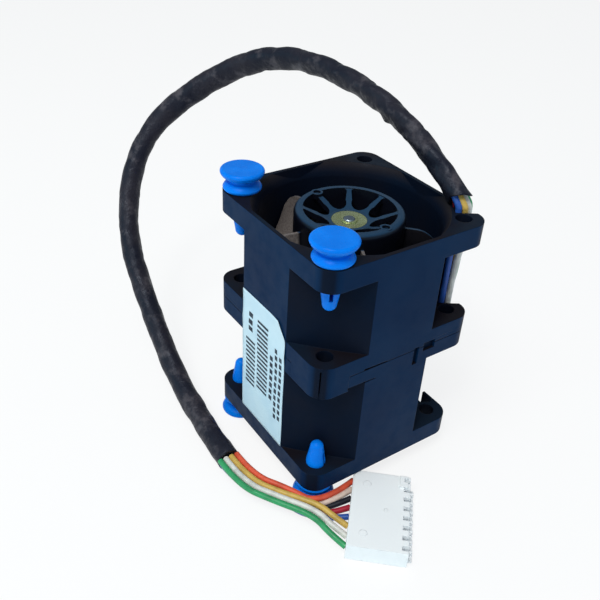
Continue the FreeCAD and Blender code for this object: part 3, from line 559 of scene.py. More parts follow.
@dataclass(frozen=True)
class ImpellerPlastic:
    """Black impeller plastic with painted light: a lit slate copy on the hub's face over its dark walls,
    and on the blades a taupe dusting with a painted highlight, full on the -X side.

    Attributes:
        face: Linear colour of the hub's face ring and spokes, a painted lit copy of the dark walls.
        wall: Linear colour of the hub's walls.
        film_and_highlight: Linear colours of the taupe layer on the blades: a dusting with a painted
            highlight.
        gloss: How it shines.
        root: Width of the band round the hub in which the taupe layer comes in.
        level: Upward or downward parts of the normal between which a wall turns into a face.
        highlight_side: X from which the taupe layer grows and to which it is full.
        faint: Share of the taupe layer before that.
        specks: Pattern of the taupe layer.
        skin: Pattern of the skin texture.
        edge: Radius of the rounded edges in metres.
    """

    face: Colour = (0.0100, 0.0360, 0.0780)
    wall: Colour = (0.0036, 0.0042, 0.0085)
    film_and_highlight: tuple[Colour, Colour] = ((0.090, 0.078, 0.073), (0.240, 0.212, 0.200))
    gloss: Gloss = Gloss(0.34, 0.28, 0.42, 0.30, Pattern(500, 5), (0.55, 0.78, 1.0))
    root: float = 0.0007
    level: Span = (0.55, 0.92)
    highlight_side: Span = (0.006, -0.008)
    faint: float = 0.05
    specks: Pattern = Pattern(3200, 4, 0.25, weight=0.7)
    skin: Pattern = Pattern(3600, 3, depth=5e-6)
    edge: float = 0.00018

    def build(self) -> Shader:
        """Makes the shader.

        Returns:
            The shader.
        """
        shader = Shader("impeller_plastic", self.wall, self.gloss.plain).shine(self.gloss)
        blades = shader.ramp(shader.reach(), HUB_REACH, HUB_REACH + self.root)
        level = shader.ramp(shader.math("ABSOLUTE", shader.parts("Normal")["Z"]), *self.level)
        # Painted light: faces across the axis get a lit slate copy of the dark walls.
        black = shader.mix(level, self.wall, self.face)
        # Taupe dusting with a painted highlight on the blades, full on the -X side and faint elsewhere.
        film_and_highlight = shader.mix(shader.patches(self.specks), *self.film_and_highlight)
        cover = shader.ramp(shader.parts()["X"], *self.highlight_side, self.faint, 1.0)
        shader.colour(shader.mix(shader.math("MULTIPLY", blades, cover), black, film_and_highlight))
        return shader.relief([shader.grain(self.skin)], self.edge)


@dataclass(frozen=True)
class PinPlastic:
    """Bright blue satin pins with a few small pits.

    Attributes:
        deep: Linear colour of the darker patches.
        bright: Linear colour of the lighter patches.
        gloss: How it shines.
        patches: Pattern of the colours.
        skin: Pattern of the skin texture.
        pit_cells: Pits per metre.
        pit_rim: Distances from a pit's middle between which its floor comes up to the skin.
        pit_depth: Depth of the pits in metres.
        pitted: Pattern of the places with pits.
        edge: Radius of the rounded edges in metres.
    """

    deep: Colour = (0.0005, 0.165, 0.720)
    bright: Colour = (0.0010, 0.210, 0.850)
    gloss: Gloss = Gloss(0.30, 0.24, 0.38, 0.08, Pattern(700, 4, 0.3, 0.7))
    patches: Pattern = Pattern(160, 4, 0.35, 0.7)
    skin: Pattern = Pattern(2500, 3, depth=6e-6)
    pit_cells: float = 700
    pit_rim: Span = (0.05, 0.16)
    pit_depth: float = 3e-5
    pitted: Pattern = Pattern(260, 2, 0.55, 0.6)
    edge: float = 0.0002

    def build(self) -> Shader:
        """Makes the shader.

        Returns:
            The shader.
        """
        shader = Shader("pin_blue", self.bright, self.gloss.plain).shine(self.gloss)
        shader.mottle(self.patches, self.deep, self.bright)
        cells = shader.node("ShaderNodeTexVoronoi")
        cells.inputs["Scale"].default_value = self.pit_cells
        shader.link(shader.place(), cells.inputs["Vector"])
        holes = shader.math("SUBTRACT", shader.ramp(cells.outputs["Distance"], *self.pit_rim), 1.0)
        pits = shader.math("MULTIPLY", holes, shader.patches(self.pitted))
        return shader.relief([shader.grain(self.skin), (pits, self.pit_depth)], self.edge)


@dataclass(frozen=True)
class Metal:
    """Bare metal, ground or turned.

    Attributes:
        name: Material name.
        colour: Linear colour.
        stained: Linear colour of its stains.
        gloss: Roughness.
        ring_pitch: Distance between lathe rings about the axis, or 0 for a ground face.
        ring_depth: Depth of the lathe rings in metres.
        smoother: How far the roughness falls in the smooth patches.
        duller: How far it rises in the dull patches.
        stains: Pattern of the stains.
        wear: Pattern of the dull patches.
        ground: Pattern of the grinding marks.
        edge: Radius of the rounded edges in metres.
    """

    name: str
    colour: Colour
    stained: Colour
    gloss: float
    ring_pitch: float = 0.0
    ring_depth: float = 1.2e-6
    smoother: float = 0.05
    duller: float = 0.10
    stains: Pattern = Pattern(800, 4, 0.35)
    wear: Pattern = Pattern(1600, 3, 0.3, 0.7)
    ground: Pattern = Pattern(6000, 2, depth=1.5e-6, weight=0.5, stretch=(1.0, 1.0, 0.1))
    edge: float = 0.00012

    def build(self) -> Shader:
        """Makes the shader.

        Returns:
            The shader.
        """
        shader = Shader(self.name, self.colour, self.gloss, 1.0)
        shader.mottle(self.stains, self.colour, self.stained)
        shader.wear(self.wear, self.gloss - self.smoother, self.gloss + self.duller)
        if self.ring_pitch:
            marks = (shader.lines(shader.reach(), self.ring_pitch), self.ring_depth)
        else:
            marks = shader.grain(self.ground)
        return shader.relief([marks], self.edge)


class LineRun(Enum):
    """Which way fine lines follow each other."""

    UP = "up the axis"
    OUT = "out from the axis"


@dataclass(frozen=True)
class LinedMetal:
    """Metal with fine even lines: stacked sheets or wound turns.

    Attributes:
        name: Material name.
        plain: Linear colour as a whole.
        groove_shade: Linear colour between the lines, darker as painted shade in the grooves.
        crest: Linear colour of the lines.
        gloss: Roughness.
        metallic: 1 for bare metal, less under enamel.
        run: Which way the lines follow each other.
        pitch: Distance between them.
        shoulder: Heights of the wave between which the darker colour turns into a crest.
        depth: Depth of the grooves in metres.
    """

    name: str
    plain: Colour
    groove_shade: Colour
    crest: Colour
    gloss: float
    metallic: float
    run: LineRun
    pitch: float
    shoulder: Span
    depth: float

    def build(self) -> Shader:
        """Makes the shader.

        Returns:
            The shader.
        """
        shader = Shader(self.name, self.plain, self.gloss, self.metallic)
        along = shader.parts()["Z"] if self.run is LineRun.UP else shader.reach()
        lines = shader.lines(along, self.pitch)
        # Painted shade: the colour darkens in the grooves between the lines.
        shader.colour(shader.mix(shader.ramp(lines, *self.shoulder), self.groove_shade, self.crest))
        return shader.relief([(lines, self.depth)])


@dataclass(frozen=True)
class ShrinkTube:
    """Shrunk black tubing: brown-black, satin, creased across, with painted highlight patches along it.

    Attributes:
        dark: Linear colour of the tubing.
        faded: Linear colour that it drifts to.
        highlight_colour: Linear colour of the painted highlight patches.
        gloss: How it shines.
        fading: Pattern of the faded patches.
        highlight_patches: Pattern of the painted highlight patches.
        skin: Patterns of the folds, the wrinkles and the skin texture.
    """

    dark: Colour = (0.0075, 0.0085, 0.0170)
    faded: Colour = (0.0210, 0.0185, 0.0260)
    highlight_colour: Colour = (0.0680, 0.0600, 0.0700)
    gloss: Gloss = Gloss(0.46, 0.34, 0.60, 0.20, Pattern(650, 5, 0.3, 0.72), (0.75, 0.85, 1.0))
    fading: Pattern = Pattern(110, 5, 0.3, 0.72)
    highlight_patches: Pattern = Pattern(230, 6, 0.50, 0.70, weight=0.6)
    skin: tuple[Pattern, ...] = (
        Pattern(380, 4, depth=3.6e-4, weight=0.62),
        Pattern(1500, 4, depth=6e-5),
        Pattern(5000, 2, depth=8e-6),
    )

    def build(self) -> Shader:
        """Makes the shader.

        Returns:
            The shader.
        """
        shader = Shader("shrink_sleeve", self.dark, self.gloss.plain).shine(self.gloss)
        base = shader.mix(shader.patches(self.fading), self.dark, self.faded)
        # Painted highlight: lighter patches over the tubing's colour.
        shader.colour(shader.mix(shader.patches(self.highlight_patches), base, self.highlight_colour))
        return shader.relief([shader.grain(pattern) for pattern in self.skin])


@dataclass(frozen=True)
class LabelInk:
    """Thermal print: blue-black with uneven cover.

    Attributes:
        full: Linear colour where the ink covers.
        thin: Linear colour where the paper shows through.
        specular: Strength of the mirror-like part.
        gloss: Roughness.
        cover: Pattern of the thin places.
    """

    full: Colour = (0.016, 0.026, 0.045)
    thin: Colour = (0.110, 0.160, 0.210)
    specular: float = 0.2
    gloss: float = 0.55
    cover: Pattern = Pattern(1700, 4, 0.5, 0.8)

    def build(self) -> Shader:
        """Makes the shader.

        Returns:
            The shader.
        """
        shader = Shader("label_ink", self.full, self.gloss)
        shader.set(Specular_IOR_Level=self.specular)
        return shader.mottle(self.cover, self.full, self.thin)


@dataclass(frozen=True)
class SolderMask:
    """Green board mask with copper runs showing through.

    Attributes:
        mask: Linear colour over the bare board.
        runs: Linear colour over the copper.
        gloss: Roughness.
        tracks: Pattern of the copper runs.
        skin: Pattern of the relief.
    """

    mask: Colour = (0.008, 0.075, 0.025)
    runs: Colour = (0.020, 0.140, 0.045)
    gloss: float = 0.3
    tracks: Pattern = Pattern(800, 1, 0.48, 0.52)
    skin: Pattern = Pattern(1400, 2, depth=8e-6)

    def build(self) -> Shader:
        """Makes the shader.

        Returns:
            The shader.
        """
        shader = Shader("board_mask", self.mask, self.gloss)
        shader.mottle(self.tracks, self.mask, self.runs)
        return shader.relief([shader.grain(self.skin)])


@dataclass(frozen=True)
class TablePaper:
    """Plain pale table: white to the camera and in reflections, with the object's shadow kept.

    Attributes:
        paper: Linear colour of the paper in plain light.
        shadow: Share of the plain lit paper that the camera sees, which carries the shadow.
        specular: Strength of the mirror-like part.
        gloss: Roughness.
    """

    paper: Colour = (0.90, 0.93, 0.95)
    shadow: float = 0.18
    specular: float = 0.1
    gloss: float = 0.9

    def build(self) -> Shader:
        """Makes the shader.

        Returns:
            The shader.
        """
        shader = Shader("pale_table", self.paper, self.gloss)
        shader.set(Specular_IOR_Level=self.specular)
        glow = shader.node("ShaderNodeEmission")
        glow.inputs["Color"].default_value = WHITE
        path = shader.node("ShaderNodeLightPath")
        seen = shader.math("MAXIMUM", path.outputs["Is Camera Ray"], path.outputs["Is Glossy Ray"])
        seen = shader.math("MAXIMUM", seen, path.outputs["Is Transmission Ray"])
        blend = shader.node("ShaderNodeMixShader")
        shader.feed(shader.math("MULTIPLY", seen, 1.0 - self.shadow), blend.inputs[0])
        shader.link(shader.surface.outputs[0], blend.inputs[1])
        shader.link(glow.outputs[0], blend.inputs[2])
        shader.link(blend.outputs[0], shader.tree.nodes["Material Output"].inputs["Surface"])
        return shader


# ---------------------------------------------------------------- mesh tools

def new_object(name: str, data: bpy.types.ID, shader: Shader) -> bpy.types.Object:
    """Links a mesh or curve object with its finish.

    Args:
        name: Object name.
        data: Its mesh or curve.
        shader: Its finish.

    Returns:
        The new object.
    """
    made = bpy.data.objects.new(name, data)
    bpy.context.collection.objects.link(made)
    data.materials.append(shader.material)
    return made


def mesh_object(name: str, form: bmesh.types.BMesh, shader: Shader,
                smooth: bool = True) -> bpy.types.Object:
    """Turns a finished bmesh into an object.

    Args:
        name: Object name.
        form: The bmesh; it is freed here.
        shader: Its finish.
        smooth: Whether its faces are shaded smooth.

    Returns:
        The new object.
    """
    mesh = bpy.data.meshes.new(name)
    bmesh.ops.recalc_face_normals(form, faces=form.faces)
    form.to_mesh(mesh)
    form.free()
    for face in mesh.polygons:
        face.use_smooth = smooth
    return new_object(name, mesh, shader)


def spline_curve(name: str, route: Sequence[Sequence[float]], radius: float,
                 steps: int) -> bpy.types.Curve:
    """Curve of one smooth open spline.

    Args:
        name: Curve name.
        route: Control points in metres.
        radius: Radius of the round section, or 0 for a bare line.
        steps: Points per control span.

    Returns:
        The curve.
    """
    curve = bpy.data.curves.new(name, "CURVE")
    curve.dimensions = "3D"
    curve.resolution_u = steps
    curve.bevel_depth = radius
    curve.bevel_resolution = 5
    curve.use_fill_caps = radius > 0
    spline = curve.splines.new("NURBS")
    spline.points.add(len(route) - 1)
    for point, place in zip(spline.points, route):
        point.co = (*place, 1.0)
    spline.order_u = 3
    spline.use_endpoint_u = True
    return curve


def spline_points(route: Sequence[Sequence[float]], steps: int) -> list[Vector]:
    """Points along the route's own smooth spline.

    Args:
        route: Control points in metres.
        steps: Points per control span.

    Returns:
        The points in order.
    """
    curve = spline_curve("route_probe", route, 0.0, steps)
    probe = bpy.data.objects.new("route_probe", curve)
    bpy.context.collection.objects.link(probe)
    mesh = bpy.data.meshes.new_from_object(probe)
    points = [vertex.co.copy() for vertex in mesh.vertices]
    bpy.data.objects.remove(probe)
    bpy.data.meshes.remove(mesh)
    bpy.data.curves.remove(curve)
    return points


@dataclass
class Station:
    """One place along a tube.

    Attributes:
        point: The point on its centreline.
        ahead: Direction along it.
        side: Direction across it.
        up: Direction across both.
    """

    point: Vector
    ahead: Vector
    side: Vector
    up: Vector

    def spoke(self, angle: float) -> Vector:
        """Unit direction out of the centreline at an angle."""
        return self.side * math.cos(angle) + self.up * math.sin(angle)


def stations(points: Sequence[Vector]) -> list[Station]:
    """Carries directions along a line of points without twist.

    Args:
        points: The points.

    Returns:
        One station per point.
    """
    made = []
    side = None
    for index, point in enumerate(points):
        before = points[max(index - 1, 0)]
        after = points[min(index + 1, len(points) - 1)]
        ahead = (after - before).normalized()
        side = side or ahead.orthogonal().normalized()
        side = (side - ahead * side.dot(ahead)).normalized()
        made.append(Station(point, ahead, side, ahead.cross(side)))
    return made


# ---------------------------------------------------------------- cords

@dataclass(frozen=True)
class Crease:
    """A row of creases across the sleeve.

    Attributes:
        run: Radians of the wave over the whole length.
        lean: How far the creases lean round the sleeve.
        depth: Their depth as a share of the radius.
    """

    run: float
    lean: float
    depth: float


@dataclass
class ShrinkSleeve:
    """The shrink sleeve over the eight leads. Heights and depths are shares of its radius.

    Attributes:
        diameter: Its diameter over the leads.
        length: Its real length; not used.
        wall: Thickness of the tubing at its open ends.
        bore: Depth of the open ends at the wall and in the middle.
        steps: Rings per span of its route.
        ring_count: Points round it.
        slim: Its radius between creases and ridges.
        swell: How far a ridge may stand out.
        oval: How far it is from round.
        oval_turn: Turn of the oval over the length.
        ridges: Height of the ridges that the leads press out.
        ridges_gain: What the ridges gain near the fan.
        ridges_turn: Turn of the ridges over the length.
        creases: Its rows of creases.
        creases_far: Share of the creases' depth that is left far from the fan.
        creases_end: Share of the length at which that is reached.
        wander: How far the creases wander.
        wander_scale: How often they do, per metre.
        lumps: Cells per metre and height of the uneven places.
        snag_at: Share of the length at which a small snag stands out.
        snag_reach: Share of the length that it takes.
        snag_height: Its height.
        snag_angle: Where round the sleeve it is.
        flare_reach: Share of the length over which the end at the fan flares.
        flare: Flare all round.
        tail_flare: Flare of the tail that the cut end runs out to.
        tail_angle: Where round the sleeve the tail is.
        tail: Length of the tail.
        ragged_reach: Share of the length that the cut end's raggedness reaches.
        ragged_depth: Depth of the raggedness.
        ragged_scale: How often the cut end turns.
        flat_facing: Direction that its flattened stretch near the fan faces.
        flat_share: How much thinner it is there.
        flat_spread: How much of that it gains in width.
        flat_end: Share of the length at which the flattened stretch ends.
        flat_fade: Share of the length over which it ends.
    """

    diameter: float = 0.0054
    length: float = 0.198
    wall: float = 0.0005
    bore: Span = (0.0012, 0.0014)
    steps: int = 64
    ring_count: int = 32
    slim: float = 0.985
    swell: float = 0.07
    oval: float = 0.045
    oval_turn: float = 5.5
    ridges: float = 0.02
    ridges_gain: float = 0.045
    ridges_turn: float = 42.0
    creases: tuple[Crease, ...] = (
        Crease(134.0, 1.0, 0.055), Crease(213.0, -2.0, 0.035), Crease(84.0, 2.0, 0.050))
    creases_far: float = 0.30
    creases_end: float = 0.45
    wander: float = 3.5
    wander_scale: float = 130
    lumps: tuple[Span, ...] = ((230, 0.06), (610, 0.03))
    snag_at: float = 0.115
    snag_reach: float = 0.006
    snag_height: float = 0.26
    snag_angle: float = 2.6
    flare_reach: float = 0.006
    flare: float = 0.05
    tail_flare: float = 0.26
    tail_angle: float = -0.6
    tail: float = 0.0017
    ragged_reach: float = 0.008
    ragged_depth: float = 0.0005
    ragged_scale: float = 2.3
    flat_facing: tuple[float, float, float] = (0.8, 0.0, 0.6)
    flat_share: float = 0.20
    flat_spread: float = 0.35
    flat_end: float = 0.62
    flat_fade: float = 0.2

    def flatness(self, share: float, angle: float, at: Station) -> float:
        """Flattens the sleeve over its leads, from the fan to the arch's far side.

        Args:
            share: Travelled share of the length, 0 at the fan.
            angle: Angle round the sleeve.
            at: Place on the centreline.

        Returns:
            The factor on the radius.
        """
        facing = Vector(self.flat_facing)
        facing = (facing - at.ahead * facing.dot(at.ahead)).normalized()
        across = facing.dot(at.spoke(angle)) ** 2
        fade = min(1.0, max(0.0, (self.flat_end - share) / self.flat_fade))
        return 1.0 - fade * self.flat_share * (across - self.flat_spread * (1.0 - across))

    def radius(self, share: float, angle: float, at: Station) -> float:
        """Radius at one place: ridged over the leads, creased and folded most near the fan.

        Args:
            share: Travelled share of the length, 0 at the fan.
            angle: Angle round the sleeve.
            at: Place on the centreline.

        Returns:
            The radius in metres.
        """
        point = at.point
        near_fan = max(0.0, 1.0 - share / self.creases_end)
        form = self.oval * math.cos(2 * angle + self.oval_turn * share)
        ridge = math.sin(3 * (angle + self.ridges_turn * share))
        form += (self.ridges + self.ridges_gain * near_fan) * ridge
        wander = self.wander * noise.noise(point * self.wander_scale)
        for crease in self.creases:
            wave = math.sin(crease.run * share + crease.lean * angle + wander)
            form -= crease.depth * (self.creases_far + near_fan) * max(0.0, wave) ** 3
        form += sum(height * noise.noise(point * scale) for scale, height in self.lumps)
        snag = math.exp(-((share - self.snag_at) / self.snag_reach) ** 2)
        snag *= max(0.0, math.cos(angle - self.snag_angle)) ** 6
        tail = self.tail_flare * max(0.0, math.cos(angle - self.tail_angle)) ** 3
        flare = math.exp(-share / self.flare_reach) * (self.flare + tail)
        form = self.slim + min(form, self.swell) + self.snag_height * snag + flare
        return self.diameter / 2 * form * self.flatness(share, angle, at)

    def ragged(self, share: float, angle: float) -> float:
        """Shapes the cut end at the fan.

        Args:
            share: Travelled share of the length, 0 at the fan.
            angle: Angle round the sleeve.

        Returns:
            How far along the sleeve the point moves; a minus sign lengthens it.
        """
        if share > self.ragged_reach:
            return 0.0
        tail = self.tail * max(0.0, math.cos(angle - self.tail_angle)) ** 3
        around = Vector((math.cos(angle), math.sin(angle), 0.3))
        uneven = self.ragged_depth * noise.noise(around * self.ragged_scale)
        return uneven - tail * (1 - share / self.ragged_reach)

    def close_end(self, form: bmesh.types.BMesh, ring: list[bmesh.types.BMVert], at: Station,
                  inward: int) -> None:
        """Closes one end with the tubing's cut edge and a shallow dark bore.

        Args:
            form: The sleeve's bmesh.
            ring: The end's outer ring.
            at: Its station.
            inward: 1 at the first end, -1 at the last.
        """
        share = self.wall / (self.diameter / 2)
        rim_bore, middle_bore = self.bore
        lip = [form.verts.new(v.co.lerp(at.point, share)) for v in ring]
        deep = [form.verts.new(v.co + at.ahead * inward * rim_bore) for v in lip]
        floor = form.verts.new(at.point + at.ahead * inward * middle_bore)
        for step in range(self.ring_count):
            other = (step + 1) % self.ring_count
            form.faces.new((ring[step], ring[other], lip[other], lip[step]))
            form.faces.new((lip[step], lip[other], deep[other], deep[step]))
            form.faces.new((deep[step], deep[other], floor))

    def build(self, shader: Shader) -> bpy.types.Object:
        """Args:
            shader: Its finish.

        Returns:
            The sleeve.
        """
        points = spline_points(SLEEVE_ROUTE, self.steps)
        places = stations(points)
        form = bmesh.new()
        rings = []
        for index, at in enumerate(places):
            share = index / (len(places) - 1)
            ring = []
            for step in range(self.ring_count):
                angle = 2 * math.pi * step / self.ring_count
                out = at.spoke(angle) * self.radius(share, angle, at)
                ring.append(form.verts.new(at.point + out + at.ahead * self.ragged(share, angle)))
            rings.append(ring)
        for near, far in zip(rings, rings[1:]):
            for step in range(self.ring_count):
                other = (step + 1) % self.ring_count
                form.faces.new((near[step], near[other], far[other], far[step]))
        self.close_end(form, rings[0], places[0], 1)
        self.close_end(form, rings[-1], places[-1], -1)
        sleeve = mesh_object("shrink_sleeve", form, shader)
        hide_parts("sleeve")
        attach(sleeve, HOUSING)
        return sleeve


@dataclass
class Plug:
    """The white plug on the table.

    Attributes:
        corner: Its corner on the lead side.
        turn: Its turn about Z.
        pitch: Distance between its cavities.
        thickness: Its height.
        marks: X, Y and radius of its two ejector rings and its gate mark.
        mark_proud: Height of the marks over its face.
        mark_ridge: Thickness of the marks.
        mark_sides: Points round each mark.
    """

    corner: tuple[float, float] = (-0.0206, -0.0339)
    turn: float = math.radians(48.0)
    pitch: float = 0.00254
    thickness: float = 0.0043
    marks: tuple[tuple[float, float, float], ...] = (
        (0.0035, -0.0032, 0.0009), (0.0168, -0.0032, 0.0009), (0.0102, -0.0076, 0.0005))
    mark_proud: float = 0.00002
    mark_ridge: float = 0.00004
    mark_sides: int = 28

    def place(self) -> Matrix:
        """Where the plug's own axes lie: X along the cavities, -Y to the mating end."""
        return Matrix.Translation((*self.corner, 0)) @ Matrix.Rotation(self.turn, 4, "Z")

    def cavity(self, index: int) -> Vector:
        """Centre of a cavity on the lead side."""
        return self.place() @ Vector((self.pitch * (index + 0.5), 0, self.thickness / 2))

    def build_marks(self, shader: Shader) -> bpy.types.Object:
        """Builds the ejector rings and the gate mark on the plug's face.

        Args:
            shader: Their finish.

        Returns:
            The marks, as one piece.
        """
        form = bmesh.new()
        for x, y, radius in self.marks:
            at = self.place() @ Matrix.Translation((x, y, self.thickness + self.mark_proud))
            bmesh.ops.create_circle(form, cap_ends=True, radius=radius, segments=self.mark_sides,
                                    matrix=at)
        marks = mesh_object("plug_marks", form, shader, smooth=False)
        ridge = marks.modifiers.new("ridge", "SOLIDIFY")
        ridge.thickness = self.mark_ridge
        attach(marks, HOUSING)
        return marks


@dataclass
class PlugLeads:
    """The eight leads between the sleeve and the plug.

    Attributes:
        plug: The plug that they enter.
        steps: Points per span of their routes.
        colours: Their colours, from the near cavity to the far one.
    """

    plug: Plug
    steps: int = 20
    colours: tuple[LeadColour, ...] = (
        LeadColour.GREEN, LeadColour.WHITE, LeadColour.YELLOW, LeadColour.BLUE,
        LeadColour.RED, LeadColour.BLACK, LeadColour.PEACH, LeadColour.ORANGE,
    )

    def build(self, finishes: dict[LeadColour, Shader]) -> list[bpy.types.Object]:
        """Builds each lead in place of its CAD node.

        Args:
            finishes: The finish of each colour.

        Returns:
            The leads.
        """
        leads = []
        for index, (route, colour) in enumerate(zip(PLUG_LEAD_ROUTES, self.colours)):
            node = "plug_lead_%d" % (index + 1)
            whole = [Vector(place) for place in route] + [self.plug.cavity(index)]
            curve = spline_curve(node + "_wire", whole, LEAD_DIAMETER / 2, self.steps)
            lead = new_object(node + "_wire", curve, finishes[colour])
            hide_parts(node)
            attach(lead, HOUSING)
            leads.append(lead)
        return leads


@dataclass(frozen=True)
class LaneLead:
    """One lead in the corner lane.

    Attributes:
        unit: The fan unit that it comes from.
        colour: Its insulation.
        column: Its place across the lane, 0 to 3.
        layer: 0 against the barrel, 1 outside it.
        sway: Places on its way up, each a depth under the top face, a column and a layer.
    """

    unit: str
    colour: LeadColour
    column: float
    layer: float
    sway: tuple[tuple[float, float, float], ...] = ()


@dataclass
class BodyLeads:
    """The leads inside the module, from both boards to the sleeve.

    Attributes:
        angle: Direction of the corner lane from the axis.
        pitch: Distance between leads in the lane.
        reach: Distance of the inner layer from the axis.
        bend: Radius of their bend into the lane.
        start: Distance of their solder ends from the axis.
        clearance: Gap between a board and the leads on it.
        foot: Length of a lead's bend above its level on the board.
        rise: Length above the bend in which it comes upright.
        straight_end: Depth under the top face at which an unswayed lead starts its last stretch.
        mouth: Depth under the top face at which that stretch ends.
        middle: Column and layer of the lane's middle.
        gather: Share of the leads' spacing that is left in the sleeve's mouth.
        outside: Length between a lead's last bend and the sleeve's end.
        tucked: Length of the lead inside the sleeve.
        steps: Points per span of their routes.
        per_unit: Leads of each fan unit.
        leads: The leads, with where each lies in the lane.
    """

    angle: float = math.radians(-32.0)
    pitch: float = 0.0014
    reach: float = 0.02165
    bend: float = 0.0019
    start: float = 0.0085
    clearance: float = 0.00012
    foot: float = 0.0004
    rise: float = 0.001
    straight_end: float = 0.0060
    mouth: float = 0.0002
    middle: Span = (1.5, 0.5)
    gather: float = 0.80
    outside: float = 0.0012
    tucked: float = 0.0022
    steps: int = 14
    per_unit: int = 4
    leads: tuple[LaneLead, ...] = (
        LaneLead("lower", LeadColour.BLUE, 0, 0),
        LaneLead("lower", LeadColour.WHITE, 0, 1,
                 ((0.0125, 0, 1), (0.0060, 0.6, 1.9), (0.0002, 1, 1.75))),
        LaneLead("lower", LeadColour.BLACK, 1, 0),
        LaneLead("lower", LeadColour.YELLOW, 1, 1, ((0.0105, 1, 1), (0.0045, 0.4, 1), (0.0002, 0, 1))),
        LaneLead("upper", LeadColour.RED, 2, 0),
        LaneLead("upper", LeadColour.GREEN, 2, 1,
                 ((0.0190, 2, 1.7), (0.0110, 2, 1.9), (0.0060, 2, 2.1), (0.0002, 2, 2.1))),
        LaneLead("upper", LeadColour.ORANGE, 3, 0),
        LaneLead("upper", LeadColour.WHITE, 3, 1),
    )

    def outward(self) -> Vector:
        """Direction from the axis to the lane."""
        return Vector((math.cos(self.angle), math.sin(self.angle), 0))

    def lane(self, column: float, layer: float) -> Vector:
        """Finds a place in the lane, at the level of the origin.

        Args:
            column: Place across the lane, 0 to 3.
            layer: 0 against the barrel, 1 outside it.

        Returns:
            The place.
        """
        across = Vector((-math.sin(self.angle), math.cos(self.angle), 0))
        out = self.outward() * (self.reach + layer * self.pitch)
        return out + across * ((column - self.middle[0]) * self.pitch)

    def board_level(self, lead: LaneLead) -> float:
        """Finds the level at which a lead leaves its board.

        Args:
            lead: The lead; those of the lower unit run under the seam.

        Returns:
            The level in metres.
        """
        step = (0.5 + lead.layer) * self.pitch + self.clearance
        if lead.unit == "upper":
            return SEAM + (2 * self.pitch + 2 * self.clearance - step)
        return SEAM - step

    def route(self, lead: LaneLead) -> list[Vector]:
        """Control points of one lead.

        Args:
            lead: The lead.

        Returns:
            The control points, from the board to the sleeve.
        """
        level = Vector((0, 0, self.board_level(lead)))
        foot = self.lane(lead.column, lead.layer)
        straight = tuple((depth, lead.column, lead.layer) for depth in (self.straight_end, self.mouth))
        sway = lead.sway or straight
        ahead = (Vector(SLEEVE_ROUTE[1]) - Vector(SLEEVE_ROUTE[0])).normalized()
        exit_place = self.lane(*sway[-1][1:])
        gather = Vector(SLEEVE_ROUTE[0]) + (exit_place - self.lane(*self.middle)) * self.gather
        return [
            foot - self.outward() * (self.reach + lead.layer * self.pitch - self.start) + level,
            foot - self.outward() * self.bend + level,
            foot + level + Vector((0, 0, self.foot)),
            foot + level + Vector((0, 0, self.bend + self.rise)),
            *(self.lane(column, layer) + Vector((0, 0, TOP - depth)) for depth, column, layer in sway),
            gather - ahead * self.outside,
            gather + ahead * self.tucked,
        ]

    def build(self, finishes: dict[LeadColour, Shader]) -> list[bpy.types.Object]:
        """Builds the eight leads.

        Args:
            finishes: The finish of each colour.

        Returns:
            The leads.
        """
        made = []
        for number, lead in enumerate(self.leads):
            name = "%s_lead_%d" % (lead.unit, number % self.per_unit + 1)
            curve = spline_curve(name, self.route(lead), LEAD_DIAMETER / 2, self.steps)
            piece = new_object(name, curve, finishes[lead.colour])
            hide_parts(lead.unit + "_leads")
            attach(piece, HOUSING)
            made.append(piece)
        return made


# ---------------------------------------------------------------- label

@dataclass(frozen=True)
class PrintedRow:
    """A column of even printed patches: bars side by side, or an upright rule of plain dashes.

    Attributes:
        side: Y of its edge.
        width: Its width.
        low: Its lowest level.
        high: Level that it stays under.
        pitch: Distance from patch to patch.
        patch: Height of a patch.
    """

    side: float
    width: float
    low: float
    high: float
    pitch: float
    patch: float


def bars(side: float, width: float, low: float, high: float) -> PrintedRow:
    """A ladder of even bars."""
    return PrintedRow(side, width, low, high, 0.00118, 0.00060)


def dashes(side: float, width: float, low: float, high: float) -> PrintedRow:
    """An upright rule of plain dashes."""
    return PrintedRow(side, width, low, high, 0.0018, 0.0012)


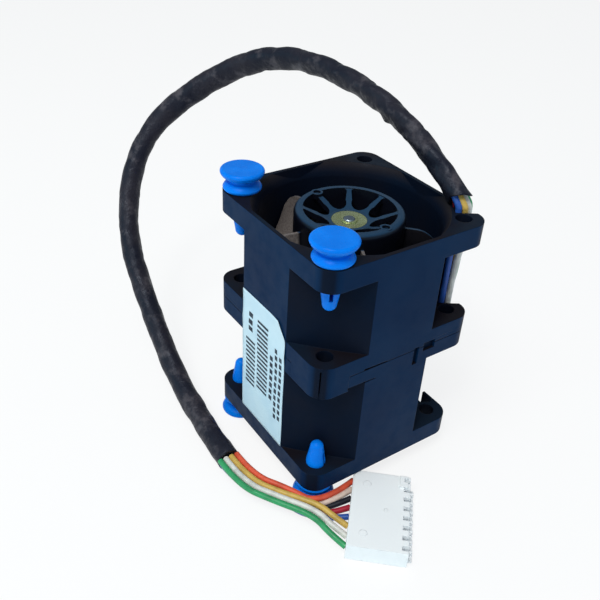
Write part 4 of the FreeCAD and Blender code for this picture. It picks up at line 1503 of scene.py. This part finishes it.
@dataclass
class Label:
    """The paper label across both frames.

    Attributes:
        low: Lowest corner of its CAD box.
        high: Highest corner of its CAD box.
        cut: Height of the clipped corner.
        cut_slant: Width of the clipped corner as a share of its height.
        paper: Thickness of the paper.
        columns: Cells across the paper.
        rows: Cells up the paper.
        wave_height: Height of the soft waves.
        wave_up: Radians of the waves per metre up the paper.
        wave_across: Radians of the waves per metre across it.
        seam_lift: How far it stands off over the seam.
        seam_reach: How far above and below the seam it does.
        lifted: How far the corner that has come up stands off.
        lifted_height: Height of that corner.
        lifted_side: Distance of that corner from the paper's middle.
        lifted_width: Width of that corner.
        ink_proud: Height of the print over the paper.
        ink_spans: Cells across a printed patch.
        rows_of_print: The printed rows.
    """

    low: Vector
    high: Vector
    cut: float = 0.0034
    cut_slant: float = 0.8
    paper: float = 0.00009
    columns: int = 26
    rows: int = 52
    wave_height: float = 0.00007
    wave_up: float = 420
    wave_across: float = 160
    seam_lift: float = 0.00010
    seam_reach: float = 0.0016
    lifted: float = 0.00045
    lifted_height: float = 0.005
    lifted_side: float = 0.002
    lifted_width: float = 0.0055
    ink_proud: float = 0.00007
    ink_spans: int = 4
    rows_of_print: tuple[PrintedRow, ...] = (
        bars(0.0030, 0.0037, 0.0180, 0.0318),
        bars(-0.0021, 0.0042, 0.0192, 0.0386),
        dashes(0.0040, 0.0016, 0.0328, 0.0396),
        dashes(-0.0041, 0.0011, 0.0196, 0.0325),
        dashes(-0.0058, 0.0009, 0.0155, 0.0358),
        dashes(-0.0074, 0.0009, 0.0160, 0.0350),
    )

    def lift(self, y: float, z: float) -> float:
        """Lets the paper stand off the flat in soft waves, over the seam and at one corner.

        Args:
            y: Place across the paper.
            z: Place up the paper.

        Returns:
            The distance from the flat.
        """
        wave = self.wave_height * (0.5 + 0.5 * math.sin(self.wave_up * z + self.wave_across * y))
        seam = self.seam_lift * math.exp(-((z - SEAM) / self.seam_reach) ** 2)
        up = max(0.0, (z - (self.high.z - self.lifted_height)) / self.lifted_height)
        corner = up * max(0.0, (-y - self.lifted_side) / self.lifted_width)
        return wave + seam + self.lifted * corner * corner

    def place(self, y: float, z: float, proud: float = 0.0) -> Vector:
        """Point on the paper's outer face, or a little proud of it."""
        return Vector((self.low.x - self.lift(y, z) - proud, y, z))

    def build_sheet(self, shader: Shader) -> bpy.types.Object:
        """Builds the paper with its clipped corner.

        Args:
            shader: Its finish.

        Returns:
            The paper.
        """
        form = bmesh.new()
        grid = []
        for row in range(self.rows + 1):
            z = self.low.z + (self.high.z - self.low.z) * row / self.rows
            clipped = self.cut * self.cut_slant * (1 - (self.high.z - z) / self.cut)
            start = self.low.y + max(0.0, clipped)
            step = (self.high.y - start) / self.columns
            across = [start + step * column for column in range(self.columns + 1)]
            grid.append([form.verts.new(self.place(y, z)) for y in across])
        for near, far in zip(grid, grid[1:]):
            for c in range(self.columns):
                form.faces.new((near[c], near[c + 1], far[c + 1], far[c]))
        sheet = mesh_object("label_sheet", form, shader)
        skin = sheet.modifiers.new("paper", "SOLIDIFY")
        skin.thickness = self.paper
        skin.offset = 0.0
        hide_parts("label")
        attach(sheet, HOUSING)
        return sheet

    def mark(self, form: bmesh.types.BMesh, row: PrintedRow, level: float) -> None:
        """Adds one printed patch that follows the paper.

        Args:
            form: The print's bmesh.
            row: The patch's row.
            level: Level of its lower edge.
        """
        across = [row.side + row.width * i / self.ink_spans for i in range(self.ink_spans + 1)]
        under, over = ([form.verts.new(self.place(y, z, self.ink_proud)) for y in across]
                       for z in (level, level + row.patch))
        for i in range(self.ink_spans):
            form.faces.new((under[i], under[i + 1], over[i + 1], over[i]))

    def build_print(self, shader: Shader) -> bpy.types.Object:
        """Builds generic print: ladders of even bars and rules of plain dashes.

        Args:
            shader: Its finish.

        Returns:
            The print, as one piece.
        """
        form = bmesh.new()
        for row in self.rows_of_print:
            for step in range(int((row.high - row.low) / row.pitch)):
                self.mark(form, row, row.low + step * row.pitch)
        ink = mesh_object("label_print", form, shader, smooth=False)
        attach(ink, HOUSING)
        return ink


# ---------------------------------------------------------------- finishes of the CAD nodes

@dataclass
class NodeFinishes:
    """Which finish each CAD node of the module takes.

    Attributes:
        plug: The plug's plastic, which its marks share.
    """

    plug: Shader = field(default_factory=lambda: Coat.moulded(
        "plug_plastic", (0.90, 0.92, 0.93), (0.93, 0.945, 0.95), 0.42, 5e-6, 0.00025, 0.35).build())

    def unit_looks(self) -> dict[str, Shader]:
        """Makes the finishes of one fan unit.

        Returns:
            The finish of each piece, by the second part of its node's name.
        """
        metals = {
            "bushing": Metal("turned_brass", (0.62, 0.68, 0.38), (0.52, 0.56, 0.26), 0.26, 0.00012),
            "bearing_tube": Metal("plain_brass", (0.50, 0.46, 0.24), (0.40, 0.34, 0.16), 0.30),
            "shaft": Metal("ground_steel", (0.26, 0.32, 0.39), (0.18, 0.22, 0.27), 0.34),
            "retaining_clip": Metal("hardened_steel", (0.22, 0.22, 0.23), (0.14, 0.14, 0.15), 0.34),
            "yoke": Metal("dark_plated_yoke", (0.060, 0.058, 0.066), (0.035, 0.034, 0.040), 0.36),
            # The darker colours of the stator and windings are painted shade in their grooves.
            "stator_core": LinedMetal(
                "stator_steel", (0.25, 0.26, 0.28), (0.07, 0.07, 0.08), (0.30, 0.31, 0.33), 0.45, 1.0,
                LineRun.UP, 0.0005, (-0.9, -0.4), 1e-5),
            "coils": LinedMetal(
                "winding_copper", (0.55, 0.20, 0.08), (0.20, 0.06, 0.025), (0.62, 0.25, 0.10), 0.35, 0.85,
                LineRun.OUT, 0.00028, (-0.9, 0.6), 4e-5),
        }
        plastics = {
            "frame": FramePlastic(),
            "pin_left": PinPlastic(),
            "impeller": ImpellerPlastic(),
            "magnet": Coat.moulded("ferrite", (0.020, 0.019, 0.019), (0.034, 0.031, 0.030), 0.7),
            "insulator": Coat.moulded("bobbin_plastic", (0.60, 0.58, 0.52), (0.68, 0.66, 0.60), 0.5),
            "circuit_board": SolderMask(),
            "board_parts": Coat.moulded("chip_body", (0.012, 0.012, 0.013), (0.020, 0.020, 0.022), 0.55),
        }
        looks = {piece: finish.build() for piece, finish in (metals | plastics).items()}
        shared = {"pin_front": "pin_left", "bearings": "shaft", "preload_spring": "retaining_clip"}
        return looks | {piece: looks[other] for piece, other in shared.items()}

    def apply(self) -> int:
        """Gives every CAD node that shows its finish.

        Returns:
            The number of nodes dressed.
        """
        pieces = self.unit_looks()
        looks = {unit + "_" + piece: shader for unit in UNITS for piece, shader in pieces.items()}
        looks["plug_housing"] = self.plug
        tin = Metal("tinned_contact", (0.60, 0.59, 0.56), (0.42, 0.41, 0.39), 0.30)
        looks["terminals"] = tin.build()
        for name, shader in looks.items():
            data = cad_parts[name].data
            data.materials.clear()
            data.materials.append(shader.material)
        return len(looks)


# ---------------------------------------------------------------- stage

@dataclass
class Camera:
    """The camera.

    Attributes:
        azimuth: Direction it looks from, in degrees; 0 looks along +Y.
        elevation: Height above the horizon in degrees.
        roll: Turn about its own axis in degrees.
        place: Where it stands.
        lens: Focal length in mm.
        sensor: Width of the sensor in mm.
        near: Distance from which it sees.
    """

    azimuth: float = -35.794
    elevation: float = 34.539
    roll: float = 3.452
    place: tuple[float, float, float] = (-0.085734, -0.103387, 0.128349)
    lens: float = 44.178
    sensor: float = 36.0
    near: float = 0.005

    def build(self) -> bpy.types.Object:
        """Creates the camera and makes it the scene's own.

        Returns:
            The camera.
        """
        a, e, r = (math.radians(v) for v in (self.azimuth, self.elevation, self.roll))
        back = Vector((math.sin(a) * math.cos(e), -math.cos(a) * math.cos(e), math.sin(e)))
        level = Vector((0, 0, 1)).cross(back).normalized()
        upright = back.cross(level)
        right = level * math.cos(r) + upright * math.sin(r)
        up = upright * math.cos(r) - level * math.sin(r)
        data = bpy.data.cameras.new("view_camera")
        data.sensor_width = self.sensor
        data.lens = self.lens
        data.clip_start = self.near
        made = bpy.data.objects.new("view_camera", data)
        turn = Matrix((right, up, back)).transposed().to_4x4()
        made.matrix_world = Matrix.Translation(self.place) @ turn
        bpy.context.collection.objects.link(made)
        bpy.context.scene.camera = made
        return made


@dataclass
class Lamp:
    """A soft rectangular light aimed at a point.

    Attributes:
        name: Object name.
        place: Where it hangs.
        size: Width and height in metres.
        power: Watts.
        colour: Linear colour.
        aim: The point that it faces.
    """

    name: str
    place: tuple[float, float, float]
    size: tuple[float, float]
    power: float
    colour: Colour = (1.0, 1.0, 1.0)
    aim: tuple[float, float, float] = (0.0, 0.0, 0.03)

    def build(self) -> bpy.types.Object:
        """Creates the light.

        Returns:
            The light.
        """
        data = bpy.data.lights.new(self.name, "AREA")
        data.shape = "RECTANGLE"
        data.size, data.size_y = self.size
        data.energy = self.power
        data.color = self.colour
        made = bpy.data.objects.new(self.name, data)
        made.location = self.place
        towards = Vector(self.aim) - Vector(self.place)
        made.rotation_euler = towards.to_track_quat("-Z", "Y").to_euler()
        bpy.context.collection.objects.link(made)
        return made


@dataclass
class Stage:
    """Pale table, soft studio light and the view transform.

    Attributes:
        half: Half the table's side.
        drop: How far the table lies under the part.
        sky: Linear colour of the studio's walls.
        sky_level: Their strength.
        lamps: The lights.
    """

    half: float = 3.0
    drop: float = 0.00005
    sky: Colour = (0.84, 0.94, 1.0)
    sky_level: float = 0.42
    lamps: tuple[Lamp, ...] = (
        Lamp("key", (-0.25, -0.10, 0.55), (0.30, 0.30), 2.0, (1.0, 0.98, 0.95)),
        Lamp("glint", (-0.30, -0.19, 0.50), (0.07, 0.07), 0.45, (1.0, 0.97, 0.93)),
        Lamp("left_fill", (-0.60, 0.10, 0.16), (0.5, 0.4), 0.7, (0.32, 0.88, 1.0)),
        Lamp("right_fill", (0.30, -0.60, 0.20), (0.6, 0.4), 0.45, (0.28, 0.62, 1.0)),
    )

    def build_table(self) -> bpy.types.Object:
        """Builds the table, just under the part.

        Returns:
            The table.
        """
        form = bmesh.new()
        bmesh.ops.create_grid(form, x_segments=2, y_segments=2, size=self.half)
        table = mesh_object("table", form, TablePaper().build(), smooth=False)
        table.location.z = -self.drop
        return table

    def build_sky(self) -> bpy.types.World:
        """Builds the studio's walls: white to the camera, pale blue as light and in reflections.

        Returns:
            The world.
        """
        world = bpy.data.worlds.new("studio")
        world.use_nodes = True
        tree = world.node_tree
        walls = tree.nodes["Background"]
        walls.inputs["Color"].default_value = (*self.sky, 1.0)
        walls.inputs["Strength"].default_value = self.sky_level
        white = tree.nodes.new("ShaderNodeBackground")
        white.inputs["Color"].default_value = WHITE
        path = tree.nodes.new("ShaderNodeLightPath")
        blend = tree.nodes.new("ShaderNodeMixShader")
        tree.links.new(path.outputs["Is Camera Ray"], blend.inputs[0])
        tree.links.new(walls.outputs[0], blend.inputs[1])
        tree.links.new(white.outputs[0], blend.inputs[2])
        tree.links.new(blend.outputs[0], tree.nodes["World Output"].inputs["Surface"])
        return world

    def build(self) -> None:
        """Builds the table and the light."""
        self.build_table()
        for lamp in self.lamps:
            lamp.build()
        scene = bpy.context.scene
        scene.world = self.build_sky()
        scene.view_settings.view_transform = "Standard"
        scene.view_settings.look = "None"


def main() -> None:
    """Builds the camera, the cords, the label, the finishes and the stage."""
    Camera().build()
    finishes = {colour: Coat.insulation(colour).build() for colour in LeadColour}
    plug = Plug()
    made = [ShrinkSleeve().build(ShrinkTube().build())]
    made += PlugLeads(plug).build(finishes)
    made += BodyLeads().build(finishes)
    low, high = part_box("label")
    label = Label(Vector(low), Vector(high))
    made.append(label.build_sheet(Coat.label_paper().build()))
    made.append(label.build_print(LabelInk().build()))
    nodes = NodeFinishes()
    LOG.info("dressed %d CAD nodes", nodes.apply())
    made.append(plug.build_marks(nodes.plug))
    for piece in made:
        LOG.info("made %s", piece.name)
    Stage().build()


if __name__ == "__main__":
    main()
